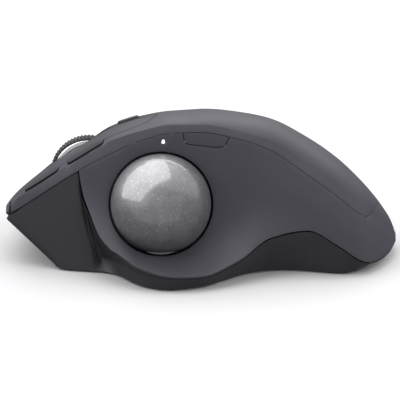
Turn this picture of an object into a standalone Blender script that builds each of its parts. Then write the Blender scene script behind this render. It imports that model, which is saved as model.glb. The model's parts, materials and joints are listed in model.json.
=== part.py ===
"""Thumb trackball mouse, modelled as an assembly of separate pieces.

Run it with blender --background --python part.py, or from Blender's text editor.
The mouse points along +Y, its thumb side faces -X, and it stands on Z = 0.
The layout is in millimetres; every mesh is scaled by MM when it is made.
"""

import math

import bmesh
import bpy
import numpy as np
from mathutils import Matrix, Vector
from mathutils.geometry import delaunay_2d_cdt

MM = 0.001  # one millimetre in Blender's metres
GAP = 0.3  # clearance left between neighbouring pieces
INSIDE = 1  # delaunay_2d_cdt's output type for the inside of a closed edge

# ---------------------------------------------------------------- driving dimensions, mm
NOSE_Y = 66.4
TAIL_Y = -66.1
SHELL = 1.6  # wall of the outer panels
SEAM = 0.5  # visible gap between two outer panels
CASE_WALL = 1.6

BALL_R = 17.0
BALL_AT = (-30.0, 13.6, 24.8)
BALL_TILT = 20.0  # degrees the ball's socket looks up from the horizontal
OPENING_R = 17.6

WHEEL_R = 13.0
WHEEL_AT = (2.0, 38.1, 24.8)
WHEEL_WIDTH = 7.0

TILT_RANGE = 20.0  # degrees between the case's two positions on its plate
SLOPE = math.tan(math.radians(TILT_RANGE))
PAD_TOP = 0.7  # the rubber pad under the steel plate
PLATE_TOP = 2.2
RIM_Z = 0.7  # the case's lowest rim, clear of the table
CEILING = PLATE_TOP + GAP  # the case's underside over the plate
FLOOR = CEILING + 1.2  # top of the case's floor
HINGE_X = 8.0
HINGE_Z = CEILING + 1.3  # both undersides lie 1.3 from this axis
FOLD_X = HINGE_X + 1.3 * math.tan(math.radians(TILT_RANGE / 2))
BARREL_R = 2.2
BARREL_Y = (-45.0, 14.0)

# ---------------------------------------------------------------- the body's cross-sections
# One row per station along Y: the lip under the thumb scoop, the edge where the scoop meets the
# shoulder, the shoulder's crease, the right-hand lip (x and z of each), the rise of the crown's
# handle, the flank's handle as shares of the width, and the angles at which the scoop leaves the
# lip and reaches the edge.
STATIONS = (
    # y     lip            edge           crease         right         crown        flank        angles
    (66.4, (-22.9, 17.9), (-22.5, 18.2), (-21.0, 19.6), (-7.0, 15.6), (0.20, -0.2), (0.20, 0.08), (70, 75)),
    (64.0, (-23.4, 17.0), (-22.6, 19.2), (-21.5, 22.2), (6.0, 14.6), (0.25, -0.3), (0.20, 0.07), (70, 75)),
    (56.0, (-26.0, 14.0), (-23.0, 24.4), (-21.5, 28.3), (27.0, 14.4), (0.30, 1.0), (0.20, 0.05), (62, 75)),
    (48.0, (-30.5, 12.5), (-23.4, 30.0), (-21.5, 33.6), (40.0, 16.2), (0.30, 1.8), (0.20, 0.055), (55, 75)),
    (41.2, (-34.6, 12.0), (-23.6, 34.4), (-21.6, 38.0), (45.0, 17.6), (0.30, 2.6), (0.20, 0.04), (48, 75)),
    (30.0, (-41.2, 12.1), (-23.8, 40.7), (-21.5, 44.7), (48.2, 19.0), (0.25, 2.5), (0.10, 0.13), (38, 75)),
    (20.0, (-48.0, 8.1), (-23.8, 45.3), (-21.3, 48.0), (49.63, 19.2), (0.20, 2.9), (0.06, 0.18), (18, 77)),
    (10.0, (-49.9, 6.0), (-23.7, 48.0), (-21.0, 50.1), (49.83, 19.2), (0.17, 3.2), (0.045, 0.20), (14, 78)),
    (0.0, (-48.5, 5.7), (-23.7, 48.1), (-21.0, 50.2), (49.4, 19.0), (0.17, 4.5), (0.045, 0.21), (15, 77)),
    (-12.0, (-42.2, 8.5), (-24.2, 45.5), (-21.3, 48.0), (46.8, 18.2), (0.17, 7.6), (0.045, 0.21), (30, 74)),
    (-24.0, (-35.0, 14.6), (-25.5, 41.9), (-22.5, 44.8), (42.6, 17.0), (0.17, 9.6), (0.045, 0.21), (60, 70)),
    (-36.0, (-33.0, 16.2), (-27.5, 34.1), (-24.5, 37.6), (36.5, 14.8), (0.17, 10.4), (0.045, 0.21), (75, 66)),
    (-46.0, (-34.2, 11.3), (-29.0, 27.0), (-26.0, 31.0), (29.0, 11.6), (0.17, 9.8), (0.045, 0.21), (78, 64)),
    (-54.0, (-33.5, 5.6), (-28.5, 19.6), (-25.0, 23.4), (20.0, 8.6), (0.17, 9.0), (0.045, 0.21), (80, 62)),
    (-60.0, (-26.6, 3.3), (-23.0, 13.0), (-19.5, 16.2), (10.5, 6.4), (0.17, 7.4), (0.045, 0.21), (80, 62)),
    (-64.0, (-18.0, 3.2), (-16.0, 7.6), (-13.8, 9.6), (2.0, 5.0), (0.17, 6.0), (0.045, 0.21), (80, 62)),
    (-66.3, (-9.5, 4.4), (-9.0, 5.4), (-8.2, 6.4), (-6.0, 5.0), (0.17, 2.2), (0.045, 0.21), (80, 62)),
)
PIECE_STEPS = 24  # samples along each of a section's three curves
ROW_STEP = 0.5  # spacing of the section rows
CORNER_BLEND = 1.8  # how far from a crease the panels' walls start to lean towards its mitre


def smooth_through(knots, values, at):
    """Monotone cubic interpolation: a smooth curve through the values, with no overshoot."""
    order = np.argsort(knots)
    x, y = np.asarray(knots, float)[order], np.asarray(values, float)[order]
    step = np.diff(x)
    slope = np.diff(y) / step
    rising = slope[:-1] * slope[1:] > 0
    before, after = np.where(rising, slope[:-1], 1.0), np.where(rising, slope[1:], 1.0)
    width = step[:-1] + step[1:]
    mean = 3 * width / ((width + step[1:]) / before + (width + step[:-1]) / after)
    inner = np.where(rising, mean, 0.0)
    tangent = np.concatenate([[slope[0]], inner, [slope[-1]]])
    at = np.clip(np.asarray(at, float), x[0], x[-1])
    i = np.clip(np.searchsorted(x, at, side="right") - 1, 0, len(step) - 1)
    h = step[i]
    t = (at - x[i]) / h
    return (
        y[i] * (2 * t**3 - 3 * t**2 + 1)
        + h * tangent[i] * (t**3 - 2 * t**2 + t)
        + y[i + 1] * (3 * t**2 - 2 * t**3)
        + h * tangent[i + 1] * (t**3 - t**2)
    )


def bezier(p0, p1, p2, p3, t):
    """Cubic Bezier points; the p are (rows, 2) and t runs along a new middle axis."""
    t = t[None, :, None]
    a, b, c, d = (np.asarray(p)[:, None, :] for p in (p0, p1, p2, p3))
    return a * (1 - t) ** 3 + 3 * b * t * (1 - t) ** 2 + 3 * c * t**2 * (1 - t) + d * t**3


def heading(degrees):
    """Unit vectors (x, z) at these angles from +X towards +Z."""
    a = np.radians(degrees)
    return np.stack([np.cos(a), np.sin(a)], axis=-1)


class Skin:
    """The upper body's outer surface, as rows of points over (t, y).

    t runs from 0 at the lip to 1 at the edge, 2 at the crease and 3 at the right-hand lip.
    """

    def __init__(self):
        knots = [s[0] for s in STATIONS]
        rows = int(round((NOSE_Y - TAIL_Y) / ROW_STEP))
        self.y = np.linspace(NOSE_Y, TAIL_Y, rows + 1)

        def rail(pick):
            return smooth_through(knots, [pick(s) for s in STATIONS], self.y)

        lip, edge, crease, right = (
            np.stack([rail(lambda s: s[k][0]), rail(lambda s: s[k][1])], axis=-1)
            for k in (1, 2, 3, 4)
        )
        lead, rise = rail(lambda s: s[5][0]), rail(lambda s: s[5][1])
        in_by, up_by = rail(lambda s: s[6][0]), rail(lambda s: s[6][1])
        leave, reach = rail(lambda s: s[7][0]), rail(lambda s: s[7][1])
        width = right[:, 0] - crease[:, 0]
        scoop = np.linalg.norm(edge - lip, axis=1)[:, None]
        t = np.linspace(0, 1, PIECE_STEPS + 1)
        low = bezier(
            lip, lip + 0.45 * scoop * heading(leave), edge - 0.55 * scoop * heading(reach), edge, t
        )
        shoulder = bezier(
            edge, edge + (crease - edge) / 3, crease - (crease - edge) / 3, crease, t
        )
        crown = np.stack([lead * width, rise], axis=-1)
        flank = np.stack([-in_by * width, up_by * width], axis=-1)
        top = bezier(crease, crease + crown, right + flank, right, t)
        section = np.concatenate([low[:, :-1], shoulder[:, :-1], top], axis=1)
        self.t = np.linspace(0, 3, section.shape[1])
        y = np.broadcast_to(self.y[:, None], section.shape[:2])
        self.p = np.stack([section[..., 0], y, section[..., 1]], axis=-1)
        along = np.gradient(self.p, axis=0)
        across = np.gradient(self.p, axis=1)
        normal = np.cross(across, along)
        normal /= np.linalg.norm(normal, axis=-1, keepdims=True) + 1e-12
        self.n = -normal if normal[rows // 2, -PIECE_STEPS, 2] < 0 else normal
        arc = np.linalg.norm(np.diff(self.p, axis=1), axis=-1)
        arc = np.concatenate([np.zeros((rows + 1, 1)), np.cumsum(arc, axis=1)], axis=1)
        self.w = arc - arc[:, PIECE_STEPS : PIECE_STEPS + 1]
        near = np.exp(-0.5 * ((arc[:, :, None] - arc[:, None, :]) / CORNER_BLEND) ** 2)
        near *= np.gradient(arc, axis=1)[:, None, :]
        self.m = near @ self.n
        ridge = self.p[:, 2 * PIECE_STEPS + 3]
        run = np.linalg.norm(np.diff(ridge, axis=0), axis=-1)
        self.s = np.concatenate([[0], np.cumsum(run)])

    def blend(self, table, t, y):
        """Bilinear lookup of a table at (t, y)."""
        r = np.clip((NOSE_Y - np.asarray(y, float)) / ROW_STEP, 0, len(self.y) - 1.001)
        c = np.clip(np.asarray(t, float) * PIECE_STEPS, 0, len(self.t) - 1.001)
        i, j = r.astype(int), c.astype(int)
        u, v = r - i, c - j
        if table.ndim == 3:
            u, v = u[:, None], v[:, None]
        return (
            table[i, j] * (1 - u) * (1 - v)
            + table[i + 1, j] * u * (1 - v)
            + table[i, j + 1] * (1 - u) * v
            + table[i + 1, j + 1] * u * v
        )

    def point(self, t, y):
        return self.blend(self.p, t, y)

    def normal(self, t, y):
        n = self.blend(self.n, t, y)
        return n / np.linalg.norm(n, axis=-1, keepdims=True)

    def wall(self, t, y):
        """The direction a panel's wall runs in: the normal, eased over the creases."""
        m = self.blend(self.m, t, y)
        return m / np.linalg.norm(m, axis=-1, keepdims=True)

    def t_where(self, values, target, y, low, high):
        """t between low and high at which a row's rising values reach the target, at each y."""
        a, b = int(low * PIECE_STEPS), int(high * PIECE_STEPS) + 1
        r = np.clip((NOSE_Y - np.asarray(y, float)) / ROW_STEP, 0, len(self.y) - 1.001)
        i = r.astype(int)
        u = r - i
        found = []
        for k in range(len(i)):
            row = values[i[k], a:b] * (1 - u[k]) + values[i[k] + 1, a:b] * u[k]
            found.append(np.interp(target[k], row, self.t[a:b]))
        return np.array(found)

    def t_at_x(self, x, y):
        """t of the point of the top that lies at x in plan."""
        return self.t_where(self.p[..., 0], x, y, 1, 3)

    def t_at_h(self, h, y):
        """t of the point of the thumb side that is h high, seen along the ball's axis."""
        a = math.radians(BALL_TILT)
        height = self.p[..., 2] * math.cos(a) + self.p[..., 0] * math.sin(a)
        return self.t_where(height, h, y, 0, 2)

    def flat(self, t, y):
        """The surface laid out flat: (arc along the section, arc along the ridge)."""
        s = np.interp(-np.asarray(y, float), -self.y, self.s)
        return np.stack([self.blend(self.w, t, y), s], axis=-1)

    def unflat(self, q):
        """The (t, y) of points of the flat layout."""
        y = np.interp(q[:, 1], self.s, self.y)
        return self.t_where(self.w, q[:, 0], y, 0, 3), y


def inside(points, loop):
    """Which points lie inside a closed loop, in 2D."""
    x, y = points[:, 0:1], points[:, 1:2]
    a, b = loop, np.roll(loop, -1, axis=0)
    crosses = (a[:, 1] > y) != (b[:, 1] > y)
    rise = np.where(b[:, 1] == a[:, 1], 1e-12, b[:, 1] - a[:, 1])
    at = a[:, 0] + (y - a[:, 1]) * (b[:, 0] - a[:, 0]) / rise
    return (crosses & (x < at)).sum(axis=1) % 2 == 1


def resample(loop, spacing):
    """A closed loop's points at an even spacing, corners sharper than 35 degrees kept."""
    loop = np.asarray(loop, float)
    before, after = loop - np.roll(loop, 1, axis=0), np.roll(loop, -1, axis=0) - loop
    turn = np.arctan2(
        before[:, 0] * after[:, 1] - before[:, 1] * after[:, 0], (before * after).sum(axis=1)
    )
    corners = np.nonzero(np.abs(turn) > math.radians(35))[0]
    if len(corners) == 0:
        corners = np.array([0])
    out = []
    for k, start in enumerate(corners):
        end = corners[(k + 1) % len(corners)]
        count = (end - start) % len(loop) or len(loop)
        run = loop[(start + np.arange(count + 1)) % len(loop)]
        arc = np.concatenate([[0], np.cumsum(np.linalg.norm(np.diff(run, axis=0), axis=1))])
        n = max(1, int(round(arc[-1] / spacing)))
        at = np.linspace(0, arc[-1], n + 1)[:-1]
        out.append(np.stack([np.interp(at, arc, run[:, 0]), np.interp(at, arc, run[:, 1])], -1))
    return np.concatenate(out)


def area2(loop):
    a, b = loop, np.roll(loop, -1, axis=0)
    return float((a[:, 0] * b[:, 1] - a[:, 1] * b[:, 0]).sum())


def inset(loop, by):
    """A counter-clockwise loop moved inwards by a small distance."""
    side = np.roll(loop, -1, axis=0) - loop
    length = np.linalg.norm(side, axis=1, keepdims=True)
    side /= length + 1e-12
    out = np.stack([side[:, 1], -side[:, 0]], axis=-1)
    before = np.roll(out, 1, axis=0)
    mean = out + before
    mean /= np.linalg.norm(mean, axis=1, keepdims=True) + 1e-12
    reach = by / np.clip((mean * out).sum(axis=1, keepdims=True), 0.6, 1)
    room = 0.9 * np.minimum(length, np.roll(length, 1, axis=0))
    reach = np.clip(reach, -room, room)
    return loop - mean * reach


def fill_flat(loops, spacing):
    """Triangles that fill a region of the flat layout. loops[0] is its edge, others are holes."""
    loops = [l if area2(l) > 0 else l[::-1] for l in loops]
    low, high = loops[0].min(axis=0), loops[0].max(axis=0)
    rise = spacing * math.sqrt(3) / 2
    grid = []
    for k, v in enumerate(np.arange(low[1] + rise / 2, high[1], rise)):
        for u in np.arange(low[0] + spacing * (0.25 + 0.5 * (k % 2)), high[0], spacing):
            grid.append((u, v))
    grid = np.array(grid)
    keep = inside(grid, loops[0])
    for hole in loops[1:]:
        keep &= ~inside(grid, hole)
    for loop in loops:
        gap = np.full(len(grid), np.inf)
        for p in loop:
            gap = np.minimum(gap, np.linalg.norm(grid - p, axis=1))
        keep &= gap > 0.62 * spacing
    grid = grid[keep]
    points = np.concatenate([*loops, grid])
    edges, first = [], 0
    for loop in loops:
        n = len(loop)
        edges += [(first + k, first + (k + 1) % n) for k in range(n)]
        first += n
    done = delaunay_2d_cdt([Vector(p) for p in points], edges, [], INSIDE, 1e-7)
    q, faces = np.array([tuple(v) for v in done[0]]), np.array(done[2])
    for hole in loops[1:]:
        faces = faces[~inside(q[faces].mean(axis=1), hole)]
    return q, faces


# ---------------------------------------------------------------- making objects
MATERIALS = {
    # name: (colour, roughness, metallic)
    "soft_graphite": ((0.085, 0.083, 0.09), 0.55, 0.0),
    "case_plastic": ((0.055, 0.053, 0.058), 0.5, 0.0),
    "key_gloss": ((0.03, 0.03, 0.032), 0.25, 0.0),
    "ball_resin": ((0.32, 0.32, 0.34), 0.15, 0.35),
    "black_rubber": ((0.025, 0.025, 0.027), 0.8, 0.0),
    "bright_metal": ((0.75, 0.75, 0.77), 0.2, 1.0),
    "steel": ((0.45, 0.45, 0.46), 0.35, 1.0),
    "inner_plastic": ((0.03, 0.03, 0.035), 0.6, 0.0),
    "board_green": ((0.02, 0.12, 0.06), 0.5, 0.0),
    "white_lens": ((0.85, 0.85, 0.85), 0.3, 0.0),
    "clear_lens": ((0.7, 0.75, 0.8), 0.1, 0.0),
    "ceramic": ((0.85, 0.83, 0.78), 0.2, 0.0),
    "battery_silver": ((0.5, 0.5, 0.52), 0.4, 0.4),
    "magnet": ((0.6, 0.6, 0.62), 0.3, 1.0),
    "brass": ((0.7, 0.5, 0.2), 0.3, 1.0),
}


def material(name):
    made = bpy.data.materials.get(name)
    if made is None:
        colour, roughness, metallic = MATERIALS[name]
        made = bpy.data.materials.new(name)
        made.use_nodes = True
        shader = made.node_tree.nodes["Principled BSDF"]
        shader.inputs["Base Color"].default_value = (*colour, 1)
        shader.inputs["Roughness"].default_value = roughness
        shader.inputs["Metallic"].default_value = metallic
    return made


def add(name, bm, slot, origin=(0, 0, 0)):
    """Turns a bmesh laid out in millimetres into an object whose origin is at the given point."""
    bmesh.ops.recalc_face_normals(bm, faces=bm.faces)
    if bm.calc_volume(signed=True) < 0:
        bmesh.ops.reverse_faces(bm, faces=bm.faces)
    bmesh.ops.scale(bm, vec=(MM, MM, MM), verts=bm.verts)
    at = Vector(origin) * MM
    bmesh.ops.translate(bm, vec=-at, verts=bm.verts)
    mesh = bpy.data.meshes.new(name)
    bm.to_mesh(mesh)
    bm.free()
    mesh.shade_smooth()
    mesh.set_sharp_from_angle(angle=math.radians(32))
    mesh.materials.append(material(slot))
    obj = bpy.data.objects.new(name, mesh)
    obj.location = at
    bpy.context.scene.collection.objects.link(obj)
    return obj


def bm_of(points, faces):
    bm = bmesh.new()
    made = [bm.verts.new(p) for p in points]
    for f in faces:
        bm.faces.new([made[k] for k in f])
    return bm


def panel_bm(skin, loops, spacing, outer=0.0, depth=SHELL, round_over=0.5):
    """A closed panel of the skin. loops are (t, y) outlines, the first its edge, the rest holes."""
    flat = []
    for loop in loops:
        q = skin.flat(loop[:, 0], loop[:, 1])
        around = np.linalg.norm(q - np.roll(q, 1, axis=0), axis=1).sum()
        flat.append(resample(q, min(spacing * 0.55, around / 20)))
    flat = [l if area2(l) > 0 else l[::-1] for l in flat]
    cores = [inset(flat[0], round_over)] + [inset(l, -round_over) for l in flat[1:]]
    q, faces = fill_flat(cores, spacing)
    t, y = skin.unflat(q)
    point = skin.point(t, y)
    top = point + skin.normal(t, y) * outer
    bottom = point - skin.wall(t, y) * (depth - outer)
    n = len(q)
    points = [*top, *bottom]
    triangles = [tuple(f) for f in faces] + [tuple(n + f[::-1]) for f in faces]
    first = 0
    for loop in flat:
        t, y = skin.unflat(loop)
        point, wall = skin.point(t, y), skin.wall(t, y)
        m = len(loop)
        ring_top, ring_low = len(points), len(points) + m
        points += [*(point + wall * (outer - round_over * 0.6))]
        points += [*(point - wall * (depth - outer))]
        for k in range(m):
            j = (k + 1) % m
            a, b = first + k, first + j
            triangles.append((a, b, ring_top + j, ring_top + k))
            triangles.append((ring_top + k, ring_top + j, ring_low + j, ring_low + k))
            triangles.append((ring_low + k, ring_low + j, n + b, n + a))
        first += m
    return bm_of(points, triangles)


# ---------------------------------------------------------------- plain shapes, in millimetres
def box_bm(low, high):
    bm = bmesh.new()
    bmesh.ops.create_cube(bm, size=1)
    low, high = Vector(low), Vector(high)
    bmesh.ops.scale(bm, vec=high - low, verts=bm.verts)
    bmesh.ops.translate(bm, vec=(low + high) / 2, verts=bm.verts)
    return bm


def frame_at(origin, z_axis, x_hint=(0, 1, 0)):
    """A placing matrix with its Z along z_axis."""
    z = Vector(z_axis).normalized()
    y = z.cross(Vector(x_hint)).normalized()
    x = y.cross(z)
    return Matrix.Translation(origin) @ Matrix((x, y, z)).transposed().to_4x4()


def moved(bm, matrix):
    bmesh.ops.transform(bm, matrix=matrix, verts=bm.verts)
    return bm


def rod_bm(start, end, radius, sides=16):
    start, end = Vector(start), Vector(end)
    bm = bmesh.new()
    bmesh.ops.create_cone(
        bm, cap_ends=True, segments=sides, radius1=radius, radius2=radius,
        depth=(end - start).length,
    )
    hint = (0, 1, 0) if abs((end - start).normalized().y) < 0.9 else (1, 0, 0)
    return moved(bm, frame_at((start + end) / 2, end - start, hint))


def turned_bm(profile, sides, matrix):
    """A closed profile of (radius, height) points turned about the matrix's Z axis."""
    bm = bmesh.new()
    rings = []
    for r, z in profile:
        if r < 1e-6:
            rings.append([bm.verts.new((0, 0, z))])
            continue
        around = (2 * math.pi * k / sides for k in range(sides))
        rings.append([bm.verts.new((r * math.cos(a), r * math.sin(a), z)) for a in around])
    for lower, upper in zip(rings, rings[1:] + rings[:1]):
        for k in range(sides):
            corners = [lower[k % len(lower)], lower[(k + 1) % len(lower)],
                       upper[(k + 1) % len(upper)], upper[k % len(upper)]]
            corners = list(dict.fromkeys(corners))
            if len(corners) > 2:
                bm.faces.new(corners)
    return moved(bm, matrix)


def prism_bm(outline, z0, z1):
    bm = bmesh.new()
    low = [bm.verts.new((x, y, z0)) for x, y in outline]
    high = [bm.verts.new((x, y, z1)) for x, y in outline]
    bm.faces.new(low[::-1])
    bm.faces.new(high)
    for k in range(len(low)):
        j = (k + 1) % len(low)
        bm.faces.new((low[k], low[j], high[j], high[k]))
    return bm


def carve(obj, tool_bm, operation="DIFFERENCE"):
    """Cuts a shape out of an object, or joins it on, with a modifier that stays on the object."""
    number = len(obj.modifiers)
    tool = add(f"{obj.name}_tool_{number}", tool_bm, "inner_plastic")
    tool.hide_render = True
    tool.display_type = "WIRE"
    step = obj.modifiers.new(f"step_{number}", "BOOLEAN")
    step.operation = operation
    step.solver = "EXACT"
    step.object = tool
    return obj


def join_on(obj, tool_bm):
    return carve(obj, tool_bm, "UNION")


# ---------------------------------------------------------------- outlines on the skin
def smooth(points, per=8, closed=False):
    """Catmull-Rom curve through 2D or 3D points."""
    p = [np.asarray(q, float) for q in points]
    p = [p[-1], *p, p[0], p[1]] if closed else [2 * p[0] - p[1], *p, 2 * p[-1] - p[-2]]
    out = []
    for a, b, c, d in zip(p, p[1:], p[2:], p[3:]):
        for k in range(per):
            t = k / per
            out.append(0.5 * (2 * b + (c - a) * t + (2 * a - 5 * b + 4 * c - d) * t**2
                              + (3 * b - a - 3 * c + d) * t**3))
    if not closed:
        out.append(p[-2])
    return np.array(out)


def rounded_box(low, high, radius, per=5):
    (x0, y0), (x1, y1) = low, high
    corners = ((x1 - radius, y1 - radius, 0), (x0 + radius, y1 - radius, 90),
               (x0 + radius, y0 + radius, 180), (x1 - radius, y0 + radius, 270))
    out = []
    for cx, cy, start in corners:
        for k in range(per + 1):
            a = math.radians(start + 90 * k / per)
            out.append((cx + radius * math.cos(a), cy + radius * math.sin(a)))
    return np.array(out)


def circle(centre, radius, sides):
    a = np.arange(sides) * 2 * math.pi / sides
    return np.stack([centre[0] + radius * np.cos(a), centre[1] + radius * np.sin(a)], axis=-1)


def on_top(skin, xy):
    """Plan points (x, y) as (t, y) on the top."""
    return np.stack([skin.t_at_x(xy[:, 0], xy[:, 1]), xy[:, 1]], axis=-1)


def on_side(skin, yh):
    """Points (y, h) seen along the ball's axis as (t, y) on the thumb side."""
    return np.stack([skin.t_at_h(yh[:, 1], yh[:, 0]), yh[:, 0]], axis=-1)


def rail(t, y0, y1, steps=80):
    return np.stack([np.full(steps + 1, float(t)), np.linspace(y0, y1, steps + 1)], axis=-1)


BUTTON_EDGE_X = -17.6  # between the left button and the strip that holds the side keys
SPINE_X = (-4.7, 8.7)
STRIP_END_Y = 64.4  # the left button wraps the nose in front of this
NOSE_CUT_Y = 66.3
REAR_SEAM = ((BUTTON_EDGE_X, 32.0), (-17.5, 26.7), (-16.2, 21.0), (-12.3, 17.6), (-4.7, 15.0),
             (2.0, 14.2), (8.7, 13.6), (18.0, 12.4), (32.0, 11.0), (44.0, 10.2))
PANEL_CORNER_Y = 41.3  # front corner of the thumb panel, on the edge
SCOOP_FRONT = ((41.2, 22.6), (39.8, 15.7), (37.2, 8.8), (35.4, 4.2), (33.2, 0.5), (30.4, -2.5))
TAIL_SEAM = ((-27.4, -55.4), (-21.0, -58.4), (-12.0, -60.2), (-3.0, -60.6), (2.6, -61.2))
KEYS = {"back_button": (33.0, 45.2), "forward_button": (48.2, 59.6)}  # along Y
KEY_X = (-21.0, BUTTON_EDGE_X)
KEY_RAISE = 0.8
KEY_TRAVEL = 0.4
KEY_STEM = 3.6  # from the top of the switch to inside the key
THUMB_KEY = ((6.4, 36.6), (5.5, 34.4), (3.8, 33.1), (0.0, 32.6), (-5.4, 31.9), (-7.6, 32.7),
             (-9.1, 34.6))  # (y, h) of its lower outline, front to rear
THUMB_KEY_Y = (6.9, -9.6)  # where that outline leaves the shoulder's edge
LED_AT = (12.8, 34.0)
CHANNEL_KEY = ((-1.2, 21.0), (5.2, 28.4))  # plan corners, low and high
WHEEL_SLOT = ((-2.7, 31.2), (6.6, 56.0))


def rear_seam(skin, x0, x1):
    """The seam behind the buttons, from x0 to x1, ending on the right-hand lip past its last x."""
    line = smooth(REAR_SEAM)
    keep = line[(line[:, 0] > min(x0, x1)) & (line[:, 0] < max(x0, x1))]
    x = np.concatenate([[min(x0, x1)], keep[:, 0], [max(x0, x1)]])
    y = np.interp(x, line[:, 0], line[:, 1])
    found = on_top(skin, np.stack([x, y], axis=-1))
    return found if x0 < x1 else found[::-1]


def tail_seam(skin):
    """The seam between the palm cover and the tail, from the edge across to the right lip."""
    line = smooth(TAIL_SEAM)
    corner = np.array([(1.0, -50.6), (1.03, -52.6), (1.25, -54.5)])
    return np.concatenate([corner, on_top(skin, line), [(2.9, -61.8), (3.0, -62.2)]])


def scoop_front(skin):
    """The thumb panel's front edge, from the shoulder's edge down to the lip."""
    line = smooth(SCOOP_FRONT)
    return np.concatenate([[(1.0, PANEL_CORNER_Y)], on_side(skin, line), [(0.0, 29.6)]])


def thumb_key_line(skin):
    return on_side(skin, smooth(THUMB_KEY, 6))


def thumb_panel_loops(skin):
    notch = thumb_key_line(skin)
    loop = np.concatenate([
        rail(1, PANEL_CORNER_Y, THUMB_KEY_Y[0], 30), notch, rail(1, THUMB_KEY_Y[1], -50, 30),
        tail_seam(skin), rail(3, -62.6, TAIL_Y, 8), rail(0, TAIL_Y, 29.9, 90),
        scoop_front(skin)[::-1][1:-1],
    ])
    opening = circle((BALL_AT[1], seen_height(BALL_AT)), OPENING_R, 72)
    light = circle(LED_AT, 0.75, 12)
    return [loop, on_side(skin, opening), on_side(skin, light)]


def seen_height(point):
    a = math.radians(BALL_TILT)
    return point[2] * math.cos(a) + point[0] * math.sin(a)


def thumb_key_loops(skin):
    notch = thumb_key_line(skin)
    return [np.concatenate([notch, rail(1, THUMB_KEY_Y[1], THUMB_KEY_Y[0], 12)])]


def key_outline(name):
    """A side key's outline: straight against the left button, its outer corners rounded."""
    y0, y1 = KEYS[name]
    box = rounded_box((KEY_X[0], y0), (KEY_X[1] + 2.0, y1), 1.3)
    box[:, 0] = np.minimum(box[:, 0], KEY_X[1])
    keep = [k for k, p in enumerate(box) if p[0] < KEY_X[1] or box[k - 1][0] < KEY_X[1]
            or box[(k + 1) % len(box)][0] < KEY_X[1]]
    return box[keep]


def palm_cover_loops(skin):
    """The cover's outline, with a notch for each side key in its border with the left button."""
    notched = [key_outline(name)[::-1] for name in KEYS]
    border = np.concatenate([*notched, [(BUTTON_EDGE_X, STRIP_END_Y)]])
    return [np.concatenate([
        rail(1, STRIP_END_Y, -50.4, 110), tail_seam(skin), rail(3, -61.6, 10.1, 60),
        rear_seam(skin, 44.0, BUTTON_EDGE_X), on_top(skin, border),
    ])]


def left_button_loops(skin):
    down = np.linspace(32.6, STRIP_END_Y, 24)
    across = np.linspace(64.8, 15.6, 30)
    return [np.concatenate([
        rear_seam(skin, SPINE_X[0], BUTTON_EDGE_X),
        on_top(skin, np.stack([np.full(24, BUTTON_EDGE_X), down], -1)),
        [(1.02, STRIP_END_Y), (1.02, NOSE_CUT_Y)],
        on_top(skin, np.array([(-18.0, NOSE_CUT_Y), (-12.0, NOSE_CUT_Y), (-8.5, 65.9)])),
        on_top(skin, np.stack([np.full(30, SPINE_X[0]), across], -1)),
    ])]


def spine_loops(skin):
    up = np.linspace(15.6, 65.4, 24)
    down = np.linspace(62.8, 14.4, 24)
    loop = np.concatenate([
        rear_seam(skin, SPINE_X[1], SPINE_X[0]),
        on_top(skin, np.stack([np.full(24, SPINE_X[0]), up], -1)),
        rail(3, 65.3, 63.4, 6),
        on_top(skin, np.stack([np.full(24, SPINE_X[1]), down], -1)),
    ])
    return [loop, on_top(skin, rounded_box(*WHEEL_SLOT, 1.5)),
            on_top(skin, rounded_box(*CHANNEL_KEY, 1.4))]


def right_button_loops(skin):
    up = np.linspace(14.2, 62.6, 24)
    return [np.concatenate([
        on_top(skin, np.stack([np.full(24, SPINE_X[1]), up], -1)),
        rail(3, 62.8, 10.7, 60), rear_seam(skin, 44.0, SPINE_X[1])[:-1],
    ])]


def shrunk(skin, loop, by):
    """A (t, y) loop moved inwards on the skin."""
    flat = skin.flat(loop[:, 0], loop[:, 1])
    around = np.linalg.norm(flat - np.roll(flat, 1, axis=0), axis=1).sum()
    flat = resample(flat, min(1.2, around / 24))
    flat = flat if area2(flat) > 0 else flat[::-1]
    t, y = skin.unflat(inset(flat, by))
    return np.stack([t, y], axis=-1)


PANEL_STEP = 7.0


def make_panels(skin):
    half = SEAM / 2

    def panel(name, loops, slot, step=PANEL_STEP, origin=(0, 0, 0), **shape):
        loops = [shrunk(skin, loops[0], half), *(shrunk(skin, hole, -half) for hole in loops[1:])]
        return add(name, panel_bm(skin, loops, step, **shape), slot, origin)

    panel("thumb_panel", thumb_panel_loops(skin), "soft_graphite")
    panel("palm_cover", palm_cover_loops(skin), "soft_graphite")
    panel("center_spine", spine_loops(skin), "key_gloss", 5.0)
    panel("left_button", left_button_loops(skin), "soft_graphite", 5.5, LEFT_HINGE)
    panel("right_button", right_button_loops(skin), "soft_graphite", 7.5, RIGHT_HINGE)
    for name in KEYS:
        outline = on_top(skin, key_outline(name))
        key = panel(name, [outline], "key_gloss", 2.0, outer=KEY_RAISE, depth=KEY_RAISE + 1.0)
        x, y, z = side_switch_at(skin, name)
        join_on(key, rod_bm((x, y, z + KEY_STEM), (x, y, z + KEY_TRAVEL + 0.15), 0.8, 12))
    key = on_top(skin, rounded_box(*CHANNEL_KEY, 1.4))
    panel("channel_button", [key], "key_gloss", 2.2, outer=0.7, depth=2.3)
    panel("precision_button", thumb_key_loops(skin), "soft_graphite", 2.5, outer=0.1)


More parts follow.
